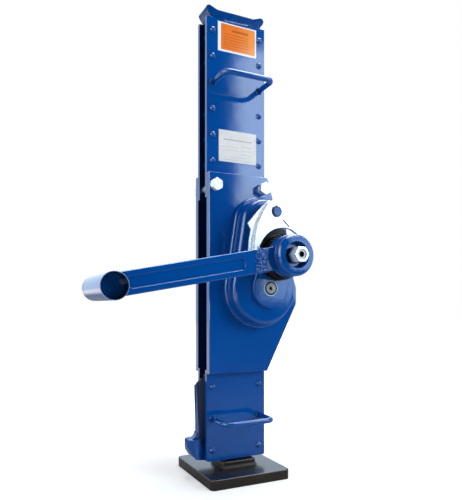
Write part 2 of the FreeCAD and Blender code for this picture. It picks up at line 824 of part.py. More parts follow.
# Free form of the toe's underside, from the tip inwards
TOE_POINTS = [(-77.8, 52), (-74.3, 42), (-67, 32.5), (-57, 27)]


def side_plate(corners, half_depth):
    """Plate between two planes beside the mid plane, from its corners in the front view."""
    points = [Vector(x, -half_depth, z) for x, z in corners]
    return Part.Face(Part.makePolygon(points + points[:1])).extrude(Vector(0, 2 * half_depth, 0))


def round_nosed(left, right, half_depth, radius):
    """Tall block whose two left uprights are rounded, to trim a side plate to its plan."""
    height = value("claw_web_top")
    slab = Part.makeBox(right - left, 2 * half_depth, height, Vector(left, -half_depth, 0))
    uprights = [edge for edge in slab.Edges
                if abs(edge.tangentAt(0).z) > 0.9 and edge.CenterOfMass.x < left + 1e-6]
    return slab.makeFillet(radius, uprights)


def claw():
    """Side claw: a wide toe under a round nosed blade, and a web that the rivets hold."""
    seat, low, high = value("claw_seat"), value("claw_low"), value("claw_high")
    tip, nose = -value("claw_tip"), -value("claw_nose")
    web_left, web_back = -value("claw_web_left"), -value("claw_web_back")
    bottom, edge = value("casing_bottom"), -value("casing_half_width")
    inner = -value("casing_half_width + toe_gap")
    toe_half, blade_half, web_half = value("toe_half_depth"), value("claw_half_depth"), value(INNER_HALF_GAP)
    toe = side_plate([(tip, seat)] + TOE_POINTS + [(inner, low), (inner, seat)], toe_half)
    toe = toe.common(round_nosed(tip, inner, toe_half, value("toe_round")))
    shoulder = high - (high - seat) / 10
    blade = side_plate([(nose, low), (web_left, low), (web_left, high), (inner, high), (nose, shoulder)],
                       blade_half)
    blade = blade.common(round_nosed(nose, web_left, blade_half, value("nose_round")))
    radius = value("throat_round")
    start = Vector(nose - radius, -blade_half, seat)
    throat = Part.makeBox(radius + blade_half, 2 * blade_half, radius, start)
    hollow = Part.makeCylinder(radius, 2 * blade_half, start + Vector(0, 0, radius), Vector(0, 1, 0))
    floor = bottom + value("claw_floor")
    web = side_plate([(edge, bottom), (web_back, bottom), (web_back, value("claw_web_top")),
                      (web_left, value("claw_web_top")), (web_left, floor), (edge, floor)], web_half)
    solid = toe.fuse([blade, throat.cut(hollow), web])
    groove_half, groove_depth = value("toe_groove") / 2, value("toe_groove_depth")
    groove = Part.makeBox(nose - radius - tip, 2 * groove_half, groove_depth,
                          Vector(tip, -groove_half, seat - groove_depth))
    holes = [Part.makeCylinder(value("rivet_shank"), 2 * web_half,
                               Vector(-value("rivet_column"), -web_half, value(row)), Vector(0, 1, 0))
             for row in LOWER_ROWS]
    made("claw", solid.cut([groove] + holes).removeSplitter())


# Rivets, bolts and handles
def dome_cap(radius, height):
    """Domed rivet head standing on the XY plane."""
    ball = (radius * radius + height * height) / (2 * height)
    sphere = Part.makeSphere(ball, Vector(0, 0, height - ball))
    return sphere.common(Part.makeCylinder(radius, height))


def rivets(name, rows):
    """Group of rivets through both plates, a domed head on each side."""
    half = value("casing_half_depth")
    cap = dome_cap(value("rivet_head"), value("rivet_head_height"))
    shank = Part.makeCylinder(value("rivet_shank"), 2 * half, Vector(0, 0, -half))
    upper = cap.copy()
    upper.translate(Vector(0, 0, half))
    lower = cap.copy()
    lower.rotate(Vector(0, 0, 0), Vector(1, 0, 0), 180)
    lower.translate(Vector(0, 0, -half))
    rivet = shank.fuse([upper, lower])
    rivet.rotate(Vector(0, 0, 0), Vector(1, 0, 0), 90)
    group = []
    for row in rows:
        for side in (-1, 1):
            copy = rivet.copy()
            copy.translate(Vector(side * value("rivet_column"), 0, value(row)))
            group.append(copy)
    made(name, Part.makeCompound(group))


def hexagon(flats, height):
    """Hexagonal prism on the XY plane, two of its flats along X."""
    corner = flats / math.sqrt(3)
    angles = [math.radians(60 * step) for step in range(7)]
    points = [Vector(corner * math.cos(angle), corner * math.sin(angle), 0) for angle in angles]
    return Part.Face(Part.makePolygon(points)).extrude(Vector(0, 0, height))


def chamfered_hexagon(flats, height, chamfer):
    """Hexagonal prism whose far corners are turned off at 30 degrees."""
    corner = flats / math.sqrt(3)
    turned_off = Part.makeCone(corner + height * math.sqrt(3) - chamfer, corner - chamfer, height)
    return hexagon(flats, height).common(turned_off)


def case_bolts():
    """Hex bolts through the gear plates, the right one on its spacer, with washers and nuts."""
    bolts, washers, nuts = [], [], []
    face = value(GEAR_FACE)
    z = value("bolt_row")
    shank = value("bolt_shank")
    washer = value("washer_thickness")
    head = chamfered_hexagon(value("bolt_flats"), value("bolt_head_height"), value("bolt_chamfer"))
    head.rotate(Vector(0, 0, 0), Vector(0, 0, 1), 30)

    def front_disc(radius, x, back, length):
        outer = Part.makeCylinder(radius, length, Vector(x, -back, z), Vector(0, -1, 0))
        return outer.cut(Part.makeCylinder(shank, length, Vector(x, -back, z), Vector(0, -1, 0)))

    for side in (-1, 1):
        x = side * value("rivet_column")
        proud = value("spacer_length") if side > 0 else 0
        if proud:
            washers.append(front_disc(value("spacer_radius"), x, face, proud))
        seat = face + proud
        washers.append(front_disc(value("washer_radius"), x, seat, washer))
        washers.append(front_disc(value("washer_radius"), x, -face - washer, washer))
        far = -face - washer - value("bolt_head_height") - value("bolt_end")
        rod = Part.makeCylinder(shank, seat + washer - far, Vector(x, -far, z), Vector(0, -1, 0))
        cap = head.copy()
        cap.rotate(Vector(0, 0, 0), Vector(1, 0, 0), 90)
        cap.translate(Vector(x, -seat - washer, z))
        bolts.append(rod.fuse(cap))
        nut = head.copy()
        nut.rotate(Vector(0, 0, 0), Vector(1, 0, 0), -90)
        nut.translate(Vector(x, face + washer, z))
        nuts.append(nut.cut(rod))
    made("case_bolts", Part.makeCompound(bolts))
    made("case_washers", Part.makeCompound(washers))
    made("case_nuts", Part.makeCompound(nuts))


def carry_handle(name, row):
    """Round rod bent to a U, its two feet welded to the front plate."""
    x = value("rivet_column")
    z = value(row)
    face = -value("casing_half_depth")
    reach = face - value("handle_reach")
    bend = value("handle_bend")
    radius = value("handle_rod")
    corner = bend * math.sqrt(0.5)
    start, end = Vector(-x, face, z), Vector(x, face, z)
    left = Part.Arc(Vector(-x, reach + bend, z), Vector(-x + bend - corner, reach + bend - corner, z),
                    Vector(-x + bend, reach, z))
    right = Part.Arc(Vector(x - bend, reach, z), Vector(x - bend + corner, reach + bend - corner, z),
                     Vector(x, reach + bend, z))
    path = Part.Wire([Part.LineSegment(start, left.StartPoint).toShape(), left.toShape(),
                      Part.LineSegment(left.EndPoint, right.StartPoint).toShape(), right.toShape(),
                      Part.LineSegment(right.EndPoint, end).toShape()])
    section = Part.Wire(Part.makeCircle(radius, start, Vector(0, -1, 0)))
    made(name, path.makePipeShell([section], True, False))


def handle_welds():
    """Weld rings where the carry handles' feet meet the plate."""
    leg = value("handle_weld")
    radius = value("handle_rod")
    beads = []
    places = [(side, row) for row in (UPPER_HANDLE_ROW, "lower_handle_row") for side in (-1, 1)]
    for side, row in places:
        foot = Vector(side * value("rivet_column"), -value("casing_half_depth"), value(row))
        cone = Part.makeCone(radius + leg, radius + value("weld_toe"), leg, foot, Vector(0, -1, 0))
        beads.append(cone.cut(Part.makeCylinder(radius, leg, foot, Vector(0, -1, 0))))
    made("handle_welds", Part.makeCompound(beads))


# Gear wheels
def involute(angle):
    return math.tan(angle) - angle


def gear_blank(teeth, module, shift, width, bore, first_tooth):
    """Spur gear about Z with its first tooth at the given angle; bore may be zero."""
    slant = math.radians(value("pressure_angle"))
    pitch_radius = module * teeth / 2
    base_radius = pitch_radius * math.cos(slant)
    tip_radius = pitch_radius + module * (shift + value("tooth_tip"))
    root_radius = pitch_radius + module * (shift - value("tooth_root"))
    half = (math.pi / 2 + 2 * shift * math.tan(slant)) / teeth + involute(slant)
    half -= value("tooth_play") / (2 * pitch_radius)
    start = max(base_radius, root_radius)
    steps = 4

    def at(radius, angle):
        return Vector(radius * math.cos(angle), radius * math.sin(angle), 0)

    def flank(centre, side):
        points = []
        for step in range(steps + 1):
            radius = start + (tip_radius - start) * step / steps
            turn = half - involute(math.acos(min(1.0, base_radius / radius)))
            points.append(at(radius, centre + side * turn))
        return points

    edges = []
    for tooth in range(teeth):
        centre = first_tooth + 2 * math.pi * tooth / teeth
        following = centre + 2 * math.pi / teeth
        rising = flank(centre, -1)
        falling = flank(centre, 1)[::-1]
        for points in (rising, falling):
            curve = Part.BSplineCurve()
            curve.interpolate(points)
            edges.append(curve.toShape())
        edges.insert(-1, Part.Arc(rising[-1], at(tip_radius, centre), falling[0]).toShape())
        foot = falling[-1]
        rise = flank(following, -1)[0]
        foot_angle = math.atan2(foot.y, foot.x)
        rise_angle = math.atan2(rise.y, rise.x)
        if rise_angle < foot_angle:
            rise_angle += 2 * math.pi
        if start > root_radius + 1e-6:
            foot, rise = at(root_radius, foot_angle), at(root_radius, rise_angle)
            edges.append(Part.LineSegment(falling[-1], foot).toShape())
        edges.append(Part.Arc(foot, at(root_radius, (foot_angle + rise_angle) / 2), rise).toShape())
        if start > root_radius + 1e-6:
            edges.append(Part.LineSegment(rise, flank(following, -1)[0]).toShape())
    blank = Part.Face(Part.Wire(edges)).extrude(Vector(0, 0, width))
    if bore:
        blank = blank.cut(Part.makeCylinder(bore, width))
    return blank


def stand_facing(shape, x, z, back):
    """Turn a shape about Z to face the front and move it to its axis."""
    shape.rotate(Vector(0, 0, 0), Vector(1, 0, 0), 90)
    shape.translate(Vector(value(x), -value(back), value(z)))
    return shape


def mesh_angle():
    """Direction from the drive shaft to the crank shaft, seen from the front."""
    rise = value(f"crank_axis_z - {DRIVE_AXIS_Z}")
    return math.atan2(rise, value("crank_axis_x - drive_axis_x"))


def drive_parts():
    """Drive shaft with its rack pinion, the gear on it, its key and its retaining ring."""
    radius = value("drive_shaft_radius")
    half = value("rack_depth") / 2 + value("shaft_end_gap")
    inner = value("casing_half_depth") - value("shaft_end_gap")
    shoulder = value("drive_shoulder_radius")
    rear = -value(GEAR_FACE)
    front = value(BEARING_FACE) + value("shaft_end_gap")
    axis = ("drive_axis_x", DRIVE_AXIS_Z)
    teeth = int(value("pinion_teeth"))
    pinion = gear_blank(teeth, value("rack_module"), value("pinion_shift"), 2 * half, 0, math.pi)
    pinion.translate(Vector(0, 0, -half))
    bar = Part.makeCylinder(radius, front - rear, Vector(0, 0, rear))
    shoulders = [Part.makeCylinder(shoulder, inner - half, Vector(0, 0, start)) for start in (-inner, half)]
    shaft = bar.fuse([pinion] + shoulders)
    centre = value("centre_hole")
    drill = Part.makeCone(0, centre + 1, centre + 1, Vector(0, 0, front - centre - 1))
    gear_back = value("drive_gear_back")
    width = value("drive_gear_width")
    key_half = value("key_width") / 2
    key_low = radius - value("key_height") / 2
    key = Part.makeBox(value("key_height"), 2 * key_half, width, Vector(key_low, -key_half, gear_back))
    clip_back = gear_back + width
    clip_depth = value("clip_thickness")
    clip = Part.makeCylinder(radius + value("clip_width"), clip_depth, Vector(0, 0, clip_back))
    clip = clip.cut(Part.makeCylinder(radius, clip_depth, Vector(0, 0, clip_back)))
    made("drive_shaft", stand_facing(shaft.cut([drill, key]), *axis, "0"))
    gear = gear_blank(int(value("drive_teeth")), value("drive_module"), -value("pinion_shift"), width,
                      radius, mesh_angle() + math.pi / value("drive_teeth"))
    gear.translate(Vector(0, 0, gear_back))
    hub_length = gear_back - value(GEAR_FACE) - value("shaft_end_gap")
    hub = Part.makeCylinder(value("drive_gear_hub"), hub_length, Vector(0, 0, gear_back - hub_length))
    hub = hub.cut(Part.makeCylinder(radius, hub_length, Vector(0, 0, gear_back - hub_length)))
    made("drive_gear", stand_facing(gear.fuse(hub).cut(key), *axis, "0"))
    made("drive_key", stand_facing(key, *axis, "0"))
    made("drive_clip", stand_facing(clip, *axis, "0"))


# Crank
def crank_shaft():
    """Stepped shaft: rear journal, pinion, front journal, friction flange, thread and hexagon."""
    axis = ("crank_axis_x", "crank_axis_z")
    rear = -value(GEAR_FACE)
    pinion_back = value("crank_pinion_back")
    pinion_width = value("crank_pinion_width")
    flange_back = value(FLANGE_BACK)
    flange_face = value(FLANGE_FACE)
    floor = value(POCKET_FLOOR) + value("clip_thickness")
    front = value(SHAFT_FACE)

    def length_of(radius, start, end):
        return Part.makeCylinder(radius, end - start, Vector(0, 0, start))

    teeth = int(value("pinion_teeth"))
    pinion = gear_blank(teeth, value("drive_module"), value("pinion_shift"), pinion_width, 0,
                        mesh_angle() + math.pi)
    pinion.translate(Vector(0, 0, pinion_back))
    steps = [length_of(value("crank_rear_radius"), rear, pinion_back),
             length_of(value("crank_journal_radius"), pinion_back + pinion_width, flange_back),
             length_of(value("flange_radius"), flange_back, flange_face),
             length_of(value("crank_thread_radius"), flange_face, floor)]
    hexagon_end = chamfered_hexagon(value("hex_flats"), front - floor, value("hex_chamfer"))
    hexagon_end.translate(Vector(0, 0, floor))
    shaft = pinion.fuse(steps + [hexagon_end])
    pocket_depth = value("hex_pocket_depth")
    hole_depth = value("hex_hole_depth")
    cuts = [length_of(value("hex_pocket"), front - pocket_depth, front),
            length_of(value("hex_hole"), front - hole_depth, front)]
    made("crank_shaft", stand_facing(shaft.cut(cuts), *axis, "0"))


def ratchet_wheel():
    """Saw toothed wheel: each tooth rises gently and drops along a radius."""
    teeth = int(value("ratchet_teeth"))
    tip = value("ratchet_radius")
    root = tip - value("ratchet_tooth")
    pitch = 2 * math.pi / teeth
    start = math.radians(value("pawl_tip_angle")) + pitch * value("ratchet_offset")
    points = []
    for tooth in range(teeth):
        angle = start + tooth * pitch
        points.append(Vector(root * math.cos(angle), root * math.sin(angle), 0))
        crest = angle + value("ratchet_rise") * pitch
        points.append(Vector(tip * math.cos(crest), tip * math.sin(crest), 0))
        points.append(Vector(root * math.cos(crest), root * math.sin(crest), 0))
    points.append(points[0])
    wheel = Part.Face(Part.makePolygon(points)).extrude(Vector(0, 0, value("ratchet_thickness")))
    bore = Part.makeCylinder(value("crank_thread_radius"), value("ratchet_thickness"))
    made("ratchet_wheel", stand_facing(wheel.cut(bore), "crank_axis_x", "crank_axis_z", RATCHET_BACK))


def crank_discs():
    thread = "crank_thread_radius"
    axis = ("crank_axis_x", "crank_axis_z")
    made("friction_discs", Part.makeCompound([
        ring_shape(thread, "disc_radius", "disc_thickness", *axis, back)
        for back in (FLANGE_FACE, RATCHET_FACE)]))
    ring("crank_clip", thread, f"{thread} + clip_width", "clip_thickness", *axis, POCKET_FLOOR)


def crank_hub():
    """Turned hub: a sleeve through the eye, a grooved barrel and a deep front pocket."""
    rear_rim = "disc_radius"
    sleeve = "(hub_rim + eye_thickness)"
    barrel = f"({sleeve} + hub_length)"
    middle = f"({sleeve} + hub_groove_start)"
    deep = "(hub_radius - hub_groove)"
    floor = f"({barrel} - hub_pocket_depth)"
    thread = "crank_thread_radius"
    profile = [(thread, "0"), (rear_rim, "0"), (rear_rim, "hub_rim"), ("hub_sleeve", "hub_rim"),
               ("hub_sleeve", sleeve), ("hub_radius", sleeve), ("hub_radius", middle), (deep, middle),
               (deep, f"{middle} + hub_groove_width"), ("hub_radius", f"{middle} + hub_groove_width"),
               ("hub_radius", f"{barrel} - hub_crown"), ("hub_pocket_radius", barrel),
               ("hub_pocket_radius", floor), (thread, floor)]
    body = turned("crank_hub", profile, "crank_axis_x", "crank_axis_z", HUB_BACK)
    revolve = body.Group[-1]
    front = value(f"{barrel} - hub_crown")
    rim = value("hub_radius")
    outer = lambda edge, middle: (abs(middle.z - front) < 1e-6
                                  and math.hypot(middle.x, middle.y) > rim - 1e-3)
    round_edges(body, revolve, outer, "hub_round")


def arm_rotation():
    """Rotation that lays a piece's X along the crank arm and its Z to the front."""
    tilt = math.radians(value("arm_tilt"))
    outward = Vector(-math.cos(tilt), 0, -math.sin(tilt))
    front = Vector(0, -1, 0)
    return FreeCAD.Rotation(outward, front.cross(outward), front, "ZXY")


def on_arm(item, back):
    place(item, "crank_axis_x", f"-({back})", "crank_axis_z", arm_rotation())


def arm_half(distance):
    """Half the arm's height at a distance from the crank axis."""
    share = f"(({distance}) - arm_start) / (arm_length - arm_start)"
    return f"((arm_height_hub - (arm_height_hub - arm_height_grip) * {share}) / 2)"


def crank_eye():
    """Eye plate: a round eye on the hub's sleeve and a tongue behind the arm."""
    body = new_body("crank_eye")
    eye = discs(body, "eye_disc", [("0", "0", "eye_radius")])
    solid = pad(body, eye, "eye_thickness")
    half = arm_half("tongue_end")
    tongue = rectangle(body, "eye_tongue", "0", f"-{half}", "tongue_end", half)
    solid = pad(body, tongue, "eye_thickness")
    reach = value("eye_radius")
    upright = along(Vector(0, 0, 1))
    doc.recompute()
    neck = lambda edge, middle: upright(edge, middle) and 5 < middle.x < reach
    round_edges(body, solid, neck, "neck_round")
    pocket(body, discs(body, "eye_bore", [("0", "0", "hub_sleeve")]), "eye_thickness")
    on_arm(body, EYE_BACK)


def crank_arm():
    """Tapered flat arm with a long round ended recess pressed in its front face."""
    body = new_body("crank_arm")
    end = "arm_length"
    corners = [("arm_start", f"-{arm_half('arm_start')}"), (end, f"-{arm_half(end)}"),
               (end, arm_half(end)), ("arm_start", arm_half("arm_start"))]
    pad(body, outline(body, "arm_outline", corners), "arm_thickness")
    tip = discs(body, "arm_tip", [("arm_length", "0", "arm_height_grip / 2")])
    solid = pad(body, tip, "arm_thickness")
    face = value("arm_thickness")
    start = value("arm_start")
    front_end = lambda edge, middle: abs(middle.z - face) < 1e-6 and abs(middle.x - start) < 1e-6
    solid = round_edges(body, solid, front_end, "arm_bevel", "Chamfer")
    beyond = start + value("arm_bevel") + 1
    long_edges = lambda edge, middle: abs(middle.z - face) < 1e-6 and middle.x > beyond
    solid = round_edges(body, solid, long_edges, "arm_edge")
    radius = "recess_height / 2"
    near = ("recess_start + recess_height / 2", "0", radius)
    away = ("recess_end - recess_height / 2", "0", f"{radius} - recess_taper")
    pocket(body, belt(body, "arm_recess", near, away, height="arm_thickness - recess_depth"), "recess_depth")
    pocket(body, discs(body, "arm_rod_hole", [("arm_length", "0", "grip_rod")]), "arm_thickness")
    on_arm(body, EYE_FACE)


# Grip
def grip_axis():
    """X and Z of the grip's own line, at the far end of the arm."""
    x = "(crank_axis_x - arm_length * cos(arm_tilt))"
    z = "(crank_axis_z - arm_length * sin(arm_tilt))"
    return x, z


def grip_rod():
    """Rod fixed in the arm's end; its head keeps the sleeve on."""
    head_back = f"(grip_gap + arm_thickness + grip_front_bush + grip_bush + rod_head_gap)"
    head_face = f"({head_back} + rod_head_length)"
    profile = [("0", "0"), ("grip_rod", "0"), ("grip_rod", head_back), ("rod_head", head_back),
               ("rod_head", head_face), ("0", head_face)]
    turned("grip_rod", profile, *grip_axis(), EYE_FACE)


def grip():
    """Turning sleeve with two bushes inside and a plug set back in its open front end."""
    axis = grip_axis()
    inner = "(grip_radius - grip_wall)"
    ring("grip_tube", inner, "grip_radius", "grip_length", *axis, GRIP_BACK)
    tube = doc.getObject("grip_tube")
    length = value("grip_length")
    rim = value("grip_radius") - 1e-3
    outer = lambda edge, middle: (math.hypot(middle.x, middle.y) > rim
                                  and min(abs(middle.z), abs(middle.z - length)) < 1e-6)
    round_edges(tube, tube.Group[-1], outer, "grip_edge")
    made("grip_bushes", Part.makeCompound([
        ring_shape("grip_rod + bush_gap", inner, "grip_bush", *axis, f"{GRIP_BACK} + {start}")
        for start in ("0", "grip_front_bush")]))
    plug_back = f"{GRIP_BACK} + grip_length - grip_recess - grip_plug"
    profile = [("0", "0"), (inner, "0"), (inner, "grip_plug"), ("0", "grip_plug")]
    turned("grip_plug", profile, *axis, plug_back)


# Pawl
# Free form of the pawl in the front view: the left horn from its low end round the apex, the
# right arm down to the tooth, and the rear plate with its pointed left shoulder
HORN_POINTS = [(0, 341), (1.5, 360), (8, 388), (17.5, 406), (26, 416.5), (34, 420), (45, 417), (53, 409)]
RIGHT_ARM_POINTS = [(53, 409), (66, 392), (80, 376)]
REAR_POINTS = [(7, 345), (11.9, 358), (21.7, 369.7), (35, 377.3), (50, 380), (66, 391), (52, 412),
               (27, 420), (16, 410), (8, 402), (-8, 383.5), (-3, 374), (-6, 358), (-7, 341), (3, 341)]


def front_points(pairs):
    return [Vector(x, z, 0) for x, z in pairs]


def spline(points):
    curve = Part.BSplineCurve()
    curve.interpolate(points)
    return curve.toShape()


def tooth_points():
    """Corners of the pawl's tooth: its shoulder, the two ends of its edge and its heel."""
    reach = value("ratchet_radius + pawl_tip_gap")
    angle = math.radians(value("pawl_tip_angle"))
    outward = Vector(math.cos(angle), math.sin(angle), 0)
    sideways = Vector(-math.sin(angle), math.cos(angle), 0)
    tip = Vector(value("crank_axis_x"), value("crank_axis_z"), 0) + outward * reach
    shoulder = tip + outward * value("tooth_length") - sideways
    heel = tip + outward * value("heel_length") + sideways * value("heel_width")
    return shoulder, tip, tip + sideways, heel


def pawl_face():
    """The front plate's outline, its inner side an arc about the crank axis."""
    centre = Vector(value("crank_axis_x"), value("crank_axis_z"), 0)
    cut = value("pawl_cut_radius")
    shoulder, tip, tip_end, heel = tooth_points()

    def on_cut(angle):
        radians = math.radians(value(angle))
        return centre + Vector(math.cos(radians), math.sin(radians), 0) * cut

    near, far = on_cut("pawl_cut_start"), on_cut("pawl_cut_end")
    middle = on_cut("(pawl_cut_start + pawl_cut_end) / 2")
    horn = front_points(HORN_POINTS)
    right_arm = front_points(RIGHT_ARM_POINTS) + [shoulder]
    straight = [(shoulder, tip), (tip, tip_end), (tip_end, heel), (heel, near)]
    edges = [Part.LineSegment(*ends).toShape() for ends in straight]
    edges.append(Part.Arc(near, middle, far).toShape())
    edges.append(Part.LineSegment(far, horn[0]).toShape())
    edges += [spline(horn), spline(right_arm)]
    return Part.Face(Part.Wire(edges))


def pawl_plates():
    """Two riveted pawl plates: a hooked front plate, and a rear one with a pointed shoulder."""
    thickness = value("pawl_thickness")
    rear_thickness = value("pawl_rear_thickness")
    centre = Vector(value("pawl_pin_x"), value("pawl_pin_z"), 0)
    pin = Part.makeCylinder(value("pawl_pin_radius + pawl_hole_gap"), thickness, centre)
    plate = pawl_face().extrude(Vector(0, 0, thickness)).cut(pin)
    made("pawl_plate", stand_facing(plate, "0", "0", "pawl_back + pawl_rear_thickness"))
    corners = front_points(REAR_POINTS)
    rear_face = Part.Face(Part.makePolygon(corners + corners[:1]))
    rear = rear_face.extrude(Vector(0, 0, rear_thickness)).cut(pin)
    made("pawl_rear_plate", stand_facing(rear, "0", "0", "pawl_back"))


def pawl_mounting():
    """Fixed boss, pin and retaining ring of the pawl."""
    axis = ("pawl_pin_x", "pawl_pin_z")
    ring("pawl_boss", "pawl_pin_radius", "pawl_boss_radius", f"pawl_back - pawl_boss_gap - {DOME_FACE}",
         *axis, DOME_FACE)
    back = f"{DOME_FACE} - dome_wall - pin_head_length"
    length = f"({PAWL_FACE} + pin_reach - ({back}))"
    radius = "pawl_pin_radius"
    head = f"({radius} + pin_head)"
    profile = [("0", "0"), (head, "0"), (head, "pin_head_length"), (radius, "pin_head_length"),
               (radius, length), ("0", length)]
    turned("pawl_pin", profile, *axis, back)
    inner = value(radius)
    width = value("pin_clip_width")
    thickness = value("pin_clip_thickness")
    ear_angles = (95, 140)
    ear_reach = inner + width
    clip = Part.makeCylinder(inner + width, thickness)
    for angle in map(math.radians, ear_angles):
        ear = Vector(ear_reach * math.cos(angle), ear_reach * math.sin(angle), 0)
        clip = clip.fuse(Part.makeCylinder(value("clip_ear_radius"), thickness, ear))
    clip = clip.cut(Part.makeCylinder(inner, thickness)).removeSplitter()
    made("pawl_clip", stand_facing(clip, *axis, f"{PAWL_FACE} + pawl_boss_gap"))


# Label places
def sheet_panel(name, left, right, low, high):
    """Thin sheet on the front plate's face."""
    body = new_body(name)
    pad(body, rectangle(body, name + "_outline", f"-{left}", low, right, high), "sheet_thickness")
    facing(body, "casing_half_depth")


def nameplate_nails():
    """Two small domed nails that hold the rating plate."""
    z = value(on_upper("(plate_low_share + plate_high_share) / 2"))
    radius = value("nail_radius")
    face = value("casing_half_depth + sheet_thickness")
    nails = []
    for x in (value("nail_inset - plate_left"), value("plate_right - nail_inset")):
        nail = dome_cap(radius, value("nail_head_height"))
        nail.rotate(Vector(0, 0, 0), Vector(1, 0, 0), 90)
        nail.translate(Vector(x, -face, z))
        nails.append(nail)
    made("nameplate_nails", Part.makeCompound(nails))


foot_plate()
foot_boss()
boss_weld()
rack()
foot_bolts()
casing()
drive_hole = "drive_shaft_radius + bush_wall"
crank_hole = "crank_rear_radius + bush_wall"
gear_plate("gear_plate_front", "casing_half_depth", drive_hole, crank_hole)
gear_plate("gear_plate_rear", f"-{GEAR_FACE}", drive_hole, crank_hole)
gear_wall()
dome()
bearing_plate()
bushes()
head()
head_welds()
claw()
rivets("rivets_upper", UPPER_ROWS)
rivets("rivets_lower", LOWER_ROWS)
case_bolts()
carry_handle("carry_handle_upper", UPPER_HANDLE_ROW)
carry_handle("carry_handle_lower", "lower_handle_row")
handle_welds()
drive_parts()
crank_shaft()
ratchet_wheel()
crank_discs()
crank_hub()
crank_eye()
crank_arm()
grip_rod()
grip()
pawl_plates()
pawl_mounting()
sheet_panel("label_panel", "label_left", "label_right", on_upper("label_low_share"),
            on_upper("label_high_share"))
sheet_panel("nameplate", "plate_left", "plate_right", on_upper("plate_low_share"),
            on_upper("plate_high_share"))
nameplate_nails()
doc.recompute()


def check_and_write():
    """Stop on any failed object or bad shape, then write each piece to its own file."""
    faulty = [item.Name for item in doc.Objects if {"Invalid", "Error"} & set(item.State)]
    if faulty:
        raise RuntimeError("failed objects: " + ", ".join(faulty))
    pieces = [item for item in doc.Objects
              if item.TypeId == "PartDesign::Body" or item.TypeId in ("Part::Box", "Part::Feature")]
    for piece in pieces:
        shape = piece.Shape
        if shape.isNull() or not shape.isValid():
            raise RuntimeError("bad shape: " + piece.Label)
    for piece in pieces:
        piece.Shape.exportStep(f"parts/{piece.Label}.step")
        print(piece.Label, len(piece.Shape.Solids), round(piece.Shape.Volume))
    print(len(pieces), "pieces")


check_and_write()
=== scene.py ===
"""Looks of the rack and pinion jack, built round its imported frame."""
import json
import math
import random

import bmesh
import bpy
from mathutils import Matrix, Vector


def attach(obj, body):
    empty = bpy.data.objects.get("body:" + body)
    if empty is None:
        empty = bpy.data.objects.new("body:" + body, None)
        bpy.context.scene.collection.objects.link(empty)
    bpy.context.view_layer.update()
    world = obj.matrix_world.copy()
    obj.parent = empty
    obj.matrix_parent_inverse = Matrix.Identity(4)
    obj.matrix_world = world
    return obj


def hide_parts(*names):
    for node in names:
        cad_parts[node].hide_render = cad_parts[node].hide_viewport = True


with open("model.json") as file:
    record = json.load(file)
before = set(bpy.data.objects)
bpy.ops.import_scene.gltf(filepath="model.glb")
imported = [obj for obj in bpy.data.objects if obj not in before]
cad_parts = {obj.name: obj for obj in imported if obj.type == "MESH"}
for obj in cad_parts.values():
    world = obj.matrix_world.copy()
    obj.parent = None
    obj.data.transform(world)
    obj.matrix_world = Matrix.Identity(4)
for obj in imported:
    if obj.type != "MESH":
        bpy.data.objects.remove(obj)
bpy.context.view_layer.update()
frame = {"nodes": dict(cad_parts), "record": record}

MM = 0.001
BODIES = frame["record"]["behaviour"]["bodies"]
BODY_OF = {node: body for body, nodes in BODIES.items() for node in nodes}

# Three lines that run to the front, by their X and Z in millimetres
CRANK_AXIS = (50, 336)
DRIVE_AXIS = (38.5, 289.398)
GRIP_AXIS = (-233.654, 284.451)

# Heights of the carry handles and half the distance between their feet, in millimetres
HANDLE_ROWS = {"carry_handle_upper": 603.5, "carry_handle_lower": 90}
HANDLE_LEG = 40


# Shader maths
class Socket:
    """An output in a node tree; Python's operators on it add Math nodes."""

    def __init__(self, finish, output):
        self.finish = finish
        self.output = output

    def maths(self, operation, first, second=0.0):
        return self.finish.node("ShaderNodeMath", {"operation": operation}, {0: first, 1: second})

    def __add__(self, other):
        return self.maths("ADD", self, other)

    def __radd__(self, other):
        return self.maths("ADD", other, self)

    def __sub__(self, other):
        return self.maths("SUBTRACT", self, other)

    def __rsub__(self, other):
        return self.maths("SUBTRACT", other, self)

    def __mul__(self, other):
        return self.maths("MULTIPLY", self, other)

    def __rmul__(self, other):
        return self.maths("MULTIPLY", other, self)

    def __pow__(self, other):
        return self.maths("POWER", self, other)

    def __rpow__(self, other):
        return self.maths("POWER", other, self)

    def sine(self):
        return self.maths("SINE", self)

    def within(self, low, high):
        """1 between two limits and 0 outside."""
        return self.maths("GREATER_THAN", self, low) * self.maths("LESS_THAN", self, high)

    def between(self, low, high, start=0.0, end=1.0):
        """This value's way from low to high, as a way from start to end, held at both ends."""
        values = {"Value": self, "From Min": low, "From Max": high, "To Min": start, "To Max": end}
        return self.finish.node("ShaderNodeMapRange", {"clamp": True}, values)


